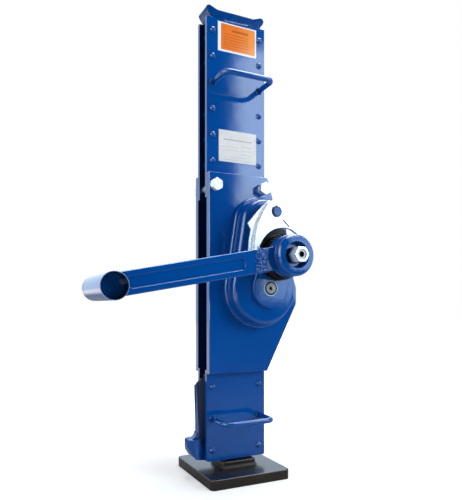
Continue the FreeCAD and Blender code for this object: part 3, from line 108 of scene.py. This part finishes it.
class Finish:
    """The nodes of a material or of the world, round the shader that it has from the start."""

    def __init__(self, owner, shader="Principled BSDF", space="Object", **constants):
        owner.use_nodes = True
        self.owner = owner
        self.tree = owner.node_tree
        self.shader = self.tree.nodes[shader]
        for socket, value in constants.items():
            self.shader.inputs[socket.replace("_", " ")].default_value = value
        self.coordinates = self.node("ShaderNodeTexCoord", out=space)

    def node(self, kind, settings=None, values=None, out=0):
        """A node with its settings made first, then its inputs set or linked; gives one output."""
        node = self.tree.nodes.new(kind)
        for name, value in (settings or {}).items():
            setattr(node, name, value)
        for name, value in (values or {}).items():
            if isinstance(value, Socket):
                self.tree.links.new(value.output, node.inputs[name])
            else:
                node.inputs[name].default_value = value
        return Socket(self, node.outputs[out])

    def several(self, outs, kind, values=None):
        """Several outputs of one new node."""
        node = self.node(kind, values=values).output.node
        return [Socket(self, node.outputs[out]) for out in outs]

    def axes(self, names, scale=1 / MM):
        """Axes of the coordinates by their letters, in millimetres unless another scale is given."""
        place = self.node("ShaderNodeVectorMath", {"operation": "SCALE"},
                          {0: self.coordinates, "Scale": scale})
        return self.several(names, "ShaderNodeSeparateXYZ", {0: place})

    def distance(self, axis):
        """Distance in millimetres from a line to the front at an X and a Z."""
        x, z = self.axes("XZ")
        across, up = x - axis[0], z - axis[1]
        return (across * across + up * up) ** 0.5

    def rays(self):
        """Masks of the rays from the camera and of those that gloss sends on."""
        return self.several(("Is Camera Ray", "Is Glossy Ray"), "ShaderNodeLightPath")

    def noise(self, scale, detail, rough, stretch=None):
        """Noise from 0 to 1; the scale is in waves per metre, and stretch draws it out."""
        place = self.coordinates
        if stretch:
            place = self.node("ShaderNodeMapping", values={"Vector": place, "Scale": stretch})
        values = {"Vector": place, "Scale": scale, "Detail": detail, "Roughness": rough}
        return self.node("ShaderNodeTexNoise", values=values, out="Fac")

    def mix(self, share, first, second):
        """Two colours mixed by a share of the second."""
        return self.node("ShaderNodeMix", {"data_type": "RGBA"}, {0: share, 6: first, 7: second}, out=2)

    def bump(self, height, strength, depth, below=None):
        """Relief of a depth in millimetres, over a relief below it."""
        values = {"Height": height, "Strength": strength, "Distance": depth * MM}
        if below:
            values["Normal"] = below
        return self.node("ShaderNodeBump", values=values)

    def feed(self, **links):
        """Link values to the shader; gives the material or world."""
        for name, value in links.items():
            self.tree.links.new(value.output, self.shader.inputs[name.replace("_", " ")])
        return self.owner


def new_finish(name, **constants):
    return Finish(bpy.data.materials.new(name), **constants)


def shade(red, green, blue):
    """Screen values from 0 to 255 as the colour that a material takes."""
    def part(value):
        value /= 255
        return value / 12.92 if value <= 0.04045 else ((value + 0.055) / 1.055) ** 2.4
    return part(red), part(green), part(blue), 1.0


# Finishes
WHITE = (1.0, 1.0, 1.0, 1.0)
BLACK = (0.0, 0.0, 0.0, 1.0)
BLUE = shade(0, 78, 154)
BLUE_DEEP = shade(0, 69, 142)
BLUE_IN_SHADE = shade(0, 26, 72)
BLUE_PAINTED_SHADE = shade(2, 8, 34)
BLACK_PAINTED_SHADE = shade(3, 5, 14)
WARM_SPECULAR = (1.0, 0.84, 0.72, 1.0)


def blue_paint(name, peel=0.25, waves=0.35, inside=None, shade_radius=None, shady=0.0, rough=0.06, gloss=0.5):
    """Blue enamel with orange peel over the slow waves of the sheet; shady is a share of darker tone.

    inside gives the half depth in millimetres within which the paint is darkened as painted shade
    between the plates. The radius given for shade round the crank marks where the front face is
    painted black as painted shade in the gap behind the pawl.
    """
    finish = new_finish(name, Roughness=rough, Specular_IOR_Level=gloss)
    patches = finish.noise(14, 3, 0.55).between(0.35, 0.7)
    specks = finish.noise(900, 2, 0.6).between(0.6, 0.8)
    tone = finish.mix(patches * 0.8 + specks * 0.2, BLUE, BLUE_DEEP)
    if shady:
        blotch = finish.noise(110, 3, 0.6).between(0.3, 0.65, 0.5, 1.0)
        tone = finish.mix(blotch * shady, tone, BLUE_IN_SHADE)
    # Painted shade: faces within the half depth, between the plates and in the channel, darkened by colour
    if inside:
        [y] = finish.axes("Y")
        tone = finish.mix(y.within(-inside, inside) * 0.9, tone, BLUE_PAINTED_SHADE)
    # Painted shade: the front face round the crank painted black where the gap behind the pawl lies in shade
    if shade_radius:
        y, z = finish.axes("YZ")
        near = finish.distance(CRANK_AXIS).between(shade_radius + 1.5, shade_radius)
        upper_part = (z - CRANK_AXIS[1]).between(-14, -4)
        front_face = y.between(-51.2, -51.8)
        shade_patch = near * upper_part * front_face
        tone = finish.mix(shade_patch, tone, BLACK_PAINTED_SHADE)
        finish.feed(Roughness=shade_patch.between(0.0, 1.0, rough, 0.6))
    skin = finish.bump(finish.noise(420, 2, 0.5), peel, 0.2)
    sheet = finish.bump(finish.noise(26, 1.5, 0.4), waves, 0.6, below=skin)
    return finish.feed(Base_Color=tone, Normal=sheet)


def black_paint(name, colour, rough):
    """Satin black paint over a rolled plate, a little dusty."""
    finish = new_finish(name, IOR=1.5, Specular_Tint=WARM_SPECULAR)
    dust = finish.noise(40, 4, 0.65).between(0.45, 0.8)
    specks = finish.noise(1300, 2, 0.6).between(0.62, 0.75)
    pale = shade(*(part + 30 for part in colour))
    tone = finish.mix(dust * 0.35 + specks * 0.3, shade(*colour), pale)
    gloss = finish.noise(90, 3, 0.6).between(0.3, 0.7, *rough)
    grain = finish.bump(finish.noise(1500, 3, 0.6), 0.15, 0.2)
    roll = finish.bump(finish.noise(120, 2, 0.5), 0.12, 0.3, below=grain)
    return finish.feed(Base_Color=tone, Roughness=gloss, Normal=roll)


def claw_paint():
    """Thick enamel on the casting; the hollow beside its nose is darkened as painted shade."""
    finish = new_finish("blue_enamel_on_claw")
    x, z = finish.axes("XZ")
    tone = finish.mix(finish.noise(30, 3, 0.6).between(0.35, 0.7), BLUE, BLUE_DEEP)
    # Painted shade: the gap between the blade and the front plate, darkened by colour
    hollow_shade = (x + z * 0.025).between(-56.2, -55.4) * z.between(46, 52)
    tone = finish.mix(hollow_shade * 0.95, tone, BLUE_PAINTED_SHADE)
    peel = finish.bump(finish.noise(420, 2, 0.5), 0.5, 0.2)
    cast = finish.bump(finish.noise(40, 2, 0.5), 0.6, 0.6, below=peel)
    return finish.feed(Base_Color=tone, Roughness=hollow_shade.between(0.0, 1.0, 0.08, 0.75), Normal=cast)


def grip_paint():
    """Enamel on the grip tube: a patchy painted highlight on the rim of its open end and painted shade in
    its bore.
    """
    finish = new_finish("blue_enamel_on_grip", Roughness=0.08)
    [y] = finish.axes("Y")
    # Painted highlight on the rim, patchy; painted shade in the bore
    rim = y.between(-198.9, -199.5)
    bore = finish.distance(GRIP_AXIS).between(15.2, 14.9)
    patchy_share = finish.noise(300, 3, 0.6).between(0.35, 0.6) * 0.5 + 0.5
    tone = finish.mix(rim * patchy_share, BLUE, shade(150, 168, 210))
    tone = finish.mix(bore, tone, shade(2, 8, 30))
    sheet = finish.bump(finish.noise(60, 2, 0.5), 0.15, 0.4)
    return finish.feed(Base_Color=tone, Normal=sheet)


def pawl_zinc():
    """Bright zinc on the pawl, with a slot across its nose drawn as a line of painted shade."""
    finish = new_finish("zinc_on_pawl")
    x, z = finish.axes("XZ")
    start_x, start_z, course_x, course_z = 47.5, 391.6, 0.735, -0.678
    length, half_width = 15.5, 1.1
    across, up = x - start_x, z - start_z
    along = across * course_x + up * course_z
    aside = up * course_x - across * course_z
    # Painted shade: a dark line standing for a slot across the pawl's nose
    slot_shade = along.within(0.0, length) * aside.within(-half_width, half_width)
    cloud = finish.noise(70, 4, 0.6)
    tone = finish.mix(cloud.between(0.3, 0.75), shade(250, 250, 252), shade(226, 229, 236))
    tone = finish.mix(slot_shade, tone, shade(20, 22, 26))
    gloss = cloud.between(0.3, 0.7, 0.2, 0.32) + slot_shade * 0.6
    return finish.feed(Base_Color=tone, Metallic=(1 - slot_shade) * 0.55, Roughness=gloss,
                       Normal=finish.bump(cloud, 0.1, 0.1))


def steel(name, light, dark, rough, lines=None, grain=0.15, metal=1.0):
    """Bare or plated steel; lines gives the stretch that draws its tool marks out."""
    finish = new_finish(name, Metallic=metal)
    cloud = finish.noise(70, 4, 0.6)
    streak = finish.noise(700, 3, 0.6, lines)
    patchy_share = cloud.between(0.3, 0.75) * 0.6 + streak.between(0.4, 0.8) * 0.4
    tone = finish.mix(patchy_share, shade(*light), shade(*dark))
    gloss = cloud.between(0.3, 0.7, *rough) + streak.between(0.5, 0.8, 0.0, 0.08)
    return finish.feed(Base_Color=tone, Roughness=gloss, Normal=finish.bump(streak, grain, 0.1))


def crank_end_steel():
    """Crank shaft: bright faced end round a hole darkened as painted shade, painted behind it, black at its
    flange as painted shade.
    """
    finish = new_finish("crank_shaft_steel")
    [y] = finish.axes("Y")
    end_face, hexagon, flange = y.between(-123, -125.4), y.between(-106, -119), y.between(-97, -95)
    reach = finish.distance(CRANK_AXIS)
    countersink, hole = reach.between(7.9, 7.3), reach.between(4.6, 3.9)
    cloud = finish.noise(160, 3, 0.6)
    tone = finish.mix(hexagon, shade(14, 46, 104), shade(196, 202, 216))
    # Painted shade: the flange painted black where it lies in shade behind the pawl and hub
    tone = finish.mix(flange, tone, shade(10, 10, 12))
    tone = finish.mix(end_face, tone, shade(244, 243, 240))
    # Painted shade: the countersink darker and the hole black
    tone = finish.mix(countersink * end_face, tone, shade(96, 88, 78))
    tone = finish.mix(hole, tone, shade(4, 4, 6))
    gloss = cloud.between(0.3, 0.7, 0.22, 0.34)
    return finish.feed(Base_Color=tone, Metallic=end_face * 0.7, Roughness=gloss,
                       Normal=finish.bump(cloud, 0.05, 0.1))


def drive_end_steel():
    """Drive shaft's end: turned grey face, with painted shade as a dark groove at its rim and a black
    centre.
    """
    finish = new_finish("drive_shaft_steel", Metallic=0.9)
    reach = finish.distance(DRIVE_AXIS)
    groove, centre = reach.between(7.9, 8.3), reach.between(2.6, 1.8)
    cloud = finish.noise(220, 3, 0.6)
    tone = finish.mix(cloud.between(0.35, 0.7), shade(150, 148, 142), shade(112, 110, 106))
    # Painted shade: a dark groove at the rim and a black centre
    tone = finish.mix(groove, tone, shade(14, 16, 24))
    tone = finish.mix(centre, tone, shade(8, 8, 10))
    gloss = cloud.between(0.3, 0.7, 0.32, 0.45)
    return finish.feed(Base_Color=tone, Roughness=gloss, Normal=finish.bump(cloud, 0.1, 0.1))


def drive_bush_steel():
    """Bush round the drive shaft: a thin bright lip outside a dark ring of painted shade in the gap round
    the shaft.
    """
    finish = new_finish("drive_bush_steel", Metallic=0.6)
    reach = finish.distance(DRIVE_AXIS)
    lip, flank = reach.between(10.4, 10.9), reach.between(12.0, 12.4)
    cloud = finish.noise(200, 3, 0.6)
    # Painted shade: the ring inside the lip darkened where the gap round the shaft lies in shade
    tone = finish.mix(lip, shade(12, 16, 30), shade(168, 182, 206))
    tone = finish.mix(flank, tone, shade(10, 24, 60))
    gloss = cloud.between(0.3, 0.7, 0.3, 0.45)
    return finish.feed(Base_Color=tone, Roughness=gloss, Normal=finish.bump(cloud, 0.1, 0.1))


def label_film():
    """Gloss label: white border, orange field, plain ruled lines."""
    finish = new_finish("label_film", Coat_Weight=0.35, Coat_Roughness=0.08, Specular_IOR_Level=0.2)
    x, z = finish.axes("XZ")
    line_pitch = 4.2
    field = x.within(-26.4, 32.6) * z.within(656.8, 696.8)
    fade = x.between(0, 30) + finish.noise(50, 2, 0.5).between(0.3, 0.7, 0.0, 0.15)
    orange = finish.mix(fade, shade(246, 116, 10), shade(255, 146, 52))
    lines = (z * (2 * math.pi / line_pitch)).sine().between(0.35, 0.6)
    lines = lines * z.within(660.2, 682.5) * x.within(-21.5, 20.5)
    bar = z.within(686.6, 689.6) * x.within(-8, 21)
    printed = finish.mix(lines * 0.4 + bar * 0.6, orange, shade(150, 56, 6))
    tone = finish.mix(field, shade(246, 246, 250), printed)
    wrinkle = finish.bump(finish.noise(90, 2, 0.5), 0.25, 0.3)
    gloss = finish.noise(120, 2, 0.5).between(0.3, 0.7, 0.25, 0.4)
    return finish.feed(Base_Color=tone, Roughness=gloss, Normal=wrinkle)


def rating_enamel():
    """Rating plate: off-white coated sheet with a plain bar and ruled lines."""
    finish = new_finish("plate_enamel", IOR=1.48)
    x, z = finish.axes("XZ")
    bar = z.within(518.5, 520.2) * x.within(-22, 27)
    marks = bar * 0.5
    half_width = 0.35
    for level, start, end in ((508.5, -18, 4), (503.5, -18, 4), (510.5, 8, 25), (504.5, 8, 25),
                              (498.5, 8, 25), (493, -12, 16), (488.6, -22, 28)):
        line = z.within(level - half_width, level + half_width) * x.within(start, end)
        marks = marks + line * 0.4
    cloud = finish.noise(60, 3, 0.6).between(0.3, 0.8)
    sheet = finish.mix(cloud, shade(232, 221, 212), shade(218, 207, 200))
    tone = finish.mix(marks, sheet, shade(96, 92, 96))
    fine = finish.bump(finish.noise(600, 2, 0.5), 0.12, 0.1)
    gloss = finish.noise(80, 2, 0.5).between(0.3, 0.7, 0.32, 0.45)
    return finish.feed(Base_Color=tone, Roughness=gloss, Normal=fine)


def brake_lining():
    """Brake lining: brown, matt, full of short fibres."""
    finish = new_finish("brake_lining")
    fibres = finish.noise(1600, 3, 0.7)
    tone = finish.mix(fibres.between(0.35, 0.7), shade(58, 46, 38), shade(104, 88, 72))
    gloss = fibres.between(0.3, 0.7, 0.7, 0.95)
    return finish.feed(Base_Color=tone, Roughness=gloss, Normal=finish.bump(fibres, 0.5, 0.2))


paint = blue_paint("blue_enamel")
plate_paint = blue_paint("blue_enamel_on_plates", inside=11.1)
case_paint = blue_paint("blue_enamel_on_case", inside=17.1)
# Rails in the channel: darkened all over as painted shade
rail_paint = blue_paint("enamel_with_painted_shade_inside", inside=30, rough=0.45, gloss=0.1)
bearing_paint = blue_paint("blue_enamel_on_bearing", shade_radius=47)
plug_paint = blue_paint("blue_enamel_in_grip")
cast_paint = blue_paint("blue_enamel_on_casting", peel=0.5, waves=0.9)
head_paint = blue_paint("blue_enamel_on_head", peel=1.0, waves=1.6, shady=0.55)
weld_paint = blue_paint("blue_enamel_on_weld", peel=0.8, waves=1.0)
foot_paint = black_paint("black_foot_paint", (26, 22, 20), (0.16, 0.28))
weld_black = black_paint("black_weld", (6, 5, 5), (0.6, 0.75))
black_oxide = black_paint("black_oxide", (16, 16, 18), (0.3, 0.5))
zinc = steel("zinc_plate", (246, 247, 250), (214, 218, 226), (0.2, 0.34), grain=0.08, metal=0.55)
rack_steel = steel("rack_steel", (120, 120, 122), (70, 69, 70), (0.28, 0.5), (1, 0.05, 1), grain=0.4)
gear_steel = steel("gear_steel", (128, 127, 126), (84, 82, 80), (0.28, 0.45), (1, 0.05, 1), grain=0.3)
bright_steel = steel("bright_steel", (206, 206, 208), (160, 160, 162), (0.2, 0.36), (1, 1, 0.1))
bronze = steel("bearing_bronze", (196, 150, 92), (150, 108, 60), (0.3, 0.45), (1, 0.1, 1))


# Mesh work
def soften(bm, width, steps, angle=30):
    """Round every edge sharper than the angle, by a width in millimetres."""
    sharp = [edge for edge in bm.edges
             if len(edge.link_faces) == 2 and edge.calc_face_angle(0) > math.radians(angle)]
    bmesh.ops.bevel(bm, geom=sharp, offset=width * MM, offset_type="OFFSET", segments=steps, profile=0.5,
                    affect="EDGES", clamp_overlap=True, loop_slide=True, material=-1)


def piece(name, bm, material, *nodes, body=None, even=True):
    """Turn a bmesh into a piece that stands for its CAD nodes, or rides on a body by itself."""
    for face in bm.faces:
        face.smooth = True
    mesh = bpy.data.meshes.new(name)
    bm.to_mesh(mesh)
    bm.free()
    mesh.materials.append(material)
    thing = bpy.data.objects.new(name, mesh)
    bpy.context.scene.collection.objects.link(thing)
    if even:
        weigh = thing.modifiers.new("even_normals", "WEIGHTED_NORMAL")
        weigh.keep_sharp = False
        weigh.weight = 60
    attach(thing, body or BODY_OF[nodes[0]])
    if nodes:
        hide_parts(*nodes)


def join_flats(bm):
    """Make one face of triangles that lie in one plane."""
    bmesh.ops.dissolve_limit(bm, angle_limit=math.radians(0.5), verts=bm.verts, edges=bm.edges)


def solid_of(node):
    """A merged copy of a CAD node's triangles, its flat faces joined."""
    bm = bmesh.new()
    bm.from_mesh(frame["nodes"][node].data)
    bmesh.ops.remove_doubles(bm, verts=bm.verts, dist=2e-6)
    join_flats(bm)
    return bm


def edged(node, material, width, angle=30):
    """The CAD node's own solid with its sharp edges rounded by a width in millimetres."""
    bm = solid_of(node)
    soften(bm, width, 3 if width >= 1 else 2, angle)
    piece("finished_" + node, bm, material, node)


def swept(bm, stations, sides):
    """Carry a unit circle along a list of matrices and cap its ends."""
    made = bmesh.ops.create_circle(bm, cap_ends=False, segments=sides, radius=1.0, matrix=stations[0])
    first = list({edge for vert in made["verts"] for edge in vert.link_edges})
    edges = first
    for before, after in zip(stations, stations[1:]):
        grown = bmesh.ops.extrude_edge_only(bm, edges=edges)["geom"]
        ring = [item for item in grown if isinstance(item, bmesh.types.BMVert)]
        edges = [item for item in grown if isinstance(item, bmesh.types.BMEdge)
                 and item.verts[0] in ring and item.verts[1] in ring]
        bmesh.ops.transform(bm, matrix=after @ before.inverted(), verts=ring)
    bmesh.ops.contextual_create(bm, geom=first)
    bmesh.ops.contextual_create(bm, geom=edges)
    bmesh.ops.recalc_face_normals(bm, faces=bm.faces)


def station(place, course, radius):
    """Matrix that stands a unit circle at a place, square to the course, with a radius."""
    side = Vector((0, 0, 1)).cross(course).normalized()
    rise = course.cross(side).normalized()
    turn = Matrix((side, rise, course.normalized())).transposed().to_4x4()
    return Matrix.Translation(place) @ turn @ Matrix.Diagonal((radius, radius, 1.0, 1.0))


# Carry handles
def carry_handle(node, row):
    """Round rod bent to a U and drawn smooth, at a height in millimetres."""
    foot, straight, reach, bend, steps, radius = 17, 35, 62, 11, 11, 4
    path = [((-HANDLE_LEG, -out), (0, -1)) for out in (foot, straight, reach - bend)]
    for step in range(1, steps):
        angle = math.pi / 2 * step / steps
        path.append(((-HANDLE_LEG + bend - bend * math.cos(angle), -(reach - bend) - bend * math.sin(angle)),
                     (math.sin(angle), -math.cos(angle))))
    path += [((-HANDLE_LEG + bend, -reach), (1, 0)), ((0, -reach), (1, 0))]
    path += [((-x, y), (along, -out)) for (x, y), (along, out) in reversed(path[:-1])]
    stations = []
    for (x, y), (along, out) in path:
        place = Vector((x * MM, y * MM, row * MM))
        stations.append(station(place, Vector((along, out, 0)), radius * MM))
    bm = bmesh.new()
    swept(bm, stations, sides=28)
    piece("bent_" + node, bm, paint, node)


for handle, row in HANDLE_ROWS.items():
    carry_handle(handle, row)


# Plates, case, head, foot, pawl, bolts, crank, shafts and grip
# Each has its finish, the width of its rounded edges and, on drawn sheet, the angle that is sharp
EDGED = {
    "upper_plate_front": (plate_paint, 1.3),
    "upper_plate_rear": (plate_paint, 1.3),
    "lower_plate_front": (plate_paint, 1.3),
    "lower_plate_rear": (plate_paint, 1.3),
    "gear_plate_front": (case_paint, 1.2),
    "gear_plate_rear": (case_paint, 1.2),
    "gear_case_wall": (paint, 1.2),
    "head": (head_paint, 1.6),
    "base_plate": (foot_paint, 1.5),
    "foot_boss": (foot_paint, 0.8),
    "pawl_plate": (pawl_zinc(), 0.5),
    "pawl_rear_plate": (zinc, 0.4),
    "case_bolts": (zinc, 0.35),
    "case_washers": (zinc, 0.3),
    "case_nuts": (zinc, 0.3),
    "crank_arm": (paint, 1.6),
    "crank_eye": (cast_paint, 1.0),
    "crank_shaft": (crank_end_steel(), 0.3),
    "drive_shaft": (drive_end_steel(), 0.3),
    "gear_cover": (bearing_paint, 0.5, 50),
    "bearing_plate": (bearing_paint, 0.5, 50),
    "grip_tube": (grip_paint(), 0.3),
}
for name, look in EDGED.items():
    edged(name, *look)


def hub():
    """The hub with its sloping front face laid nearly flat and its corners rounded."""
    bore, rim, front, lift, fall = 19.25, 30.5, -108, 0.2, 2.2
    bm = solid_of("crank_hub")
    for vert in bm.verts:
        x, y, z = (part / MM for part in vert.co)
        reach = math.hypot(x - CRANK_AXIS[0], z - CRANK_AXIS[1])
        if y < front and reach > bore + 0.25:
            vert.co.y -= lift * min(reach - bore, (rim - reach) * fall) * MM
    soften(bm, 0.9, 3)
    piece("turned_hub", bm, paint, "crank_hub")


def claw():
    """The claw with its blade drawn thin towards the top and its toe narrowed towards the plates."""
    blade_thinned_by, toe_front = 6.0, -7.5
    bm = solid_of("claw")
    bmesh.ops.triangulate(bm, faces=bm.faces)
    for vert in bm.verts:
        x, y, z = (part / MM for part in vert.co)
        on_blade_top = x < -45 and y < 0 and z > 100
        on_toe = -60 < x < -49 and y < -6 and z < 61
        if on_blade_top:
            vert.co.y += blade_thinned_by * MM
        elif on_toe:
            vert.co.y = toe_front * MM
    join_flats(bm)
    soften(bm, 1.1, 3)
    piece("cast_claw", bm, claw_paint(), "claw")


hub()
claw()


# Welds
def blob(bm, place, reach, turn=0.0):
    """One drop of weld metal: a ball squashed to three half widths."""
    matrix = Matrix.Translation(place) @ Matrix.Rotation(turn, 4, "Y") @ Matrix.Diagonal((*reach, 1.0))
    bmesh.ops.create_icosphere(bm, subdivisions=2, radius=1.0, matrix=matrix)


def half_widths(chance, *limits):
    """A random half width in metres for each pair of limits in millimetres."""
    return [chance.uniform(low, high) * MM for low, high in limits]


def arm_weld():
    """Broad uneven weld where the crank arm meets the eye plate."""
    chance = random.Random(4)
    slope = math.radians(10.3)
    outwards = Vector((-math.cos(slope), 0, -math.sin(slope)))
    downwards = Vector((math.sin(slope), 0, -math.cos(slope)))
    eye_front, arm_front, row_pitch = 101.5, 105.7, 2.6
    climb_start, climb_end, climb = 50, 55, 0.8
    bm = bmesh.new()
    for row in range(-6, 7):
        for distance in (50.5, 54.0, 57.5, 61.0, 64.5):
            along = distance + chance.uniform(-1.4, 1.4)
            if distance > 60 and chance.random() < 0.35:
                continue
            depth = eye_front + (distance - climb_start) * climb if distance < climb_end else arm_front
            aside = row * row_pitch + chance.uniform(-0.8, 0.8)
            place = Vector((CRANK_AXIS[0], -depth, CRANK_AXIS[1])) + outwards * along + downwards * aside
            widths = half_widths(chance, (1.2, 2.8), (1.3, 2.8), (1.2, 3.2))
            blob(bm, place * MM, widths, slope + chance.uniform(-0.6, 0.6))
    piece("weld_on_arm", bm, weld_paint, body="crank", even=False)


def head_bead():
    """Uneven stitches along the foot of the head, on both plates."""
    chance = random.Random(7)
    start, pitch, stitches, height = -18.9, 2.7, 15, 701
    bm = bmesh.new()
    for face in (-17.0, 17.0):
        for stitch in range(stitches):
            across = start + pitch * stitch + chance.uniform(-0.5, 0.5)
            place = Vector((across, face, height + chance.uniform(-0.4, 0.4)))
            blob(bm, place * MM, half_widths(chance, (1.3, 2.4), (1.2, 2.6), (1.4, 3.0)))
    piece("weld_under_head", bm, weld_paint, "head_welds", even=False)


def handle_beads():
    """Ring of drops round each foot of the two handles."""
    chance = random.Random(2)
    ring, drops, face = 4.6, 11, -17.6
    bm = bmesh.new()
    for row in HANDLE_ROWS.values():
        for leg in (-HANDLE_LEG, HANDLE_LEG):
            for drop in range(drops):
                angle = 2 * math.pi * drop / drops + chance.uniform(-0.1, 0.1)
                place = Vector((leg + ring * math.cos(angle), face, row + ring * math.sin(angle)))
                across, depth = half_widths(chance, (1.1, 1.5), (1.0, 1.5))
                blob(bm, place * MM, (across, depth, across))
    piece("welds_at_handles", bm, weld_paint, "handle_welds", even=False)


arm_weld()
head_bead()
handle_beads()

# Finishes of the CAD nodes that keep their own mesh
for material, *names in (
        (paint, "upper_rail_right", "lower_rail_right", "pawl_boss", "pawl_pin", "crank_clip"),
        (rail_paint, "upper_rail_left", "gear_rail_left"),
        (weld_paint, "rivets_upper", "rivets_lower"),
        (plug_paint, "grip_plug"),
        (weld_black, "boss_weld"),
        (black_oxide, "foot_bolts", "pawl_clip", "drive_clip", "ratchet_wheel"),
        (rack_steel, "rack"),
        (gear_steel, "drive_gear"),
        (bright_steel, "rack_guide_back", "rack_guide_front", "foot_guide_back", "foot_guide_front",
         "drive_key", "grip_rod"),
        (drive_bush_steel(), "drive_bushes"),
        (bronze, "crank_bushes", "crank_bush_front", "grip_bushes"),
        (brake_lining(), "friction_discs"),
        (zinc, "nameplate_nails"),
        (label_film(), "label_panel"),
        (rating_enamel(), "nameplate"),
):
    for name in names:
        for holder in frame["nodes"][name].material_slots:
            holder.material = material


# Stage
def pale_floor():
    """Floor that glows white to the camera, its glow weaker near the jack as painted shade round the foot
    plate; to gloss it is dark in front and glows at the left as painted reflection.
    """
    bm = bmesh.new()
    bmesh.ops.create_grid(bm, x_segments=1, y_segments=1, size=6.0)
    mesh = bpy.data.meshes.new("floor")
    bm.to_mesh(mesh)
    bm.free()
    floor = bpy.data.objects.new("floor", mesh)
    bpy.context.scene.collection.objects.link(floor)
    finish = new_finish("floor_paper", Roughness=0.9, Specular_IOR_Level=0.1, Emission_Strength=1.6)
    seen, mirrored = finish.rays()
    x, y = finish.axes("XY", scale=1)
    paper = finish.mix(finish.noise(300, 2, 0.5), shade(226, 219, 212), shade(230, 223, 216))
    # Painted reflection: the floor dark to gloss in front, glowing to gloss at the left
    dim_in_front = mirrored * y.between(-0.25, -1.0, 0.25, 0.85)
    tone = finish.mix(dim_in_front, paper, shade(20, 20, 22))
    bright_at_left = mirrored * x.between(-0.35, -0.6)
    # Painted light: the floor's glow to the camera, weaker near the jack as painted shade round the foot
    # plate
    glow = seen * ((x * x + y * y) ** 0.5).between(0.1, 0.5, 0.26, 0.6)
    light = finish.mix(glow + bright_at_left, BLACK, WHITE)
    mesh.materials.append(finish.feed(Base_Color=tone, Emission_Color=light))


def surroundings():
    """White behind the jack; gloss and metal see bright areas behind, at the left and above."""
    world = bpy.data.worlds.new("studio")
    bpy.context.scene.world = world
    finish = Finish(world, shader="Background", space="Generated")
    seen, mirrored = finish.rays()
    x, y, z = finish.axes("XYZ", scale=1)
    behind = y.between(0.0, 0.25) * x.between(-0.62, -0.5)
    left = x.between(-0.6, -0.72) * y.between(0.35, 0.2) * z.between(0.75, 0.6)
    above = z.between(0.74, 0.84) * x.between(-0.15, 0.05)
    in_gloss = mirrored * (behind * 1.6 + left * 5.0 + above * 9.0 + 0.02)
    on_surfaces = (1 - mirrored) * 0.22
    strength = seen.maths("MAXIMUM", seen, in_gloss + on_surfaces)
    tint = finish.mix(mirrored, WHITE, (0.88, 0.97, 1.1, 1.0))
    tint = finish.mix(mirrored * behind, tint, (0.72, 0.88, 1.08, 1.0))
    finish.feed(Color=tint, Strength=strength)


def softbox(name, place, target, width, height, radiance, colour):
    """Rectangular lamp, its sides in metres, turned to a target; gloss sees it at its radiance."""
    lamp = bpy.data.lights.new(name, "AREA")
    lamp.shape = "RECTANGLE"
    lamp.size = width
    lamp.size_y = height
    lamp.color = colour
    lamp.energy = radiance * math.pi * width * height
    thing = bpy.data.objects.new(name, lamp)
    bpy.context.scene.collection.objects.link(thing)
    thing.location = place
    thing.rotation_euler = (Vector(target) - Vector(place)).to_track_quat("-Z", "Y").to_euler()


def camera():
    """Camera low at the front left, its horizon level and its frame shifted up."""
    view = bpy.data.cameras.new("camera")
    view.sensor_width = 36
    view.lens = 37.87
    view.shift_y = 0.11
    view.clip_start = 0.01
    thing = bpy.data.objects.new("camera", view)
    bpy.context.scene.collection.objects.link(thing)
    thing.location = (-0.366, -0.749, 0.264)
    thing.rotation_euler = (math.radians(90), 0, math.radians(-26))
    bpy.context.scene.camera = thing


pale_floor()
surroundings()
softbox("key_softbox", (1.19, -1.26, 1.14), (0.0, 0.0, 1.14), 1.06, 0.76, 7.6, (0.78, 0.96, 1.1))
softbox("low_softbox", (1.24, -1.08, 0.5), (0.0, 0.0, 0.5), 1.2, 0.42, 4.2, (0.68, 0.92, 1.16))
softbox("top_softbox", (0.4, -0.1, 2.2), (0.0, 0.0, 0.3), 1.2, 1.2, 5.6, (0.9, 0.97, 1.06))
softbox("left_softbox", (-2.0, -0.5, 0.85), (0.0, 0.0, 0.35), 0.8, 1.4, 4.0, (0.6, 0.88, 1.1))
camera()
bpy.context.scene.view_settings.view_transform = "Standard"
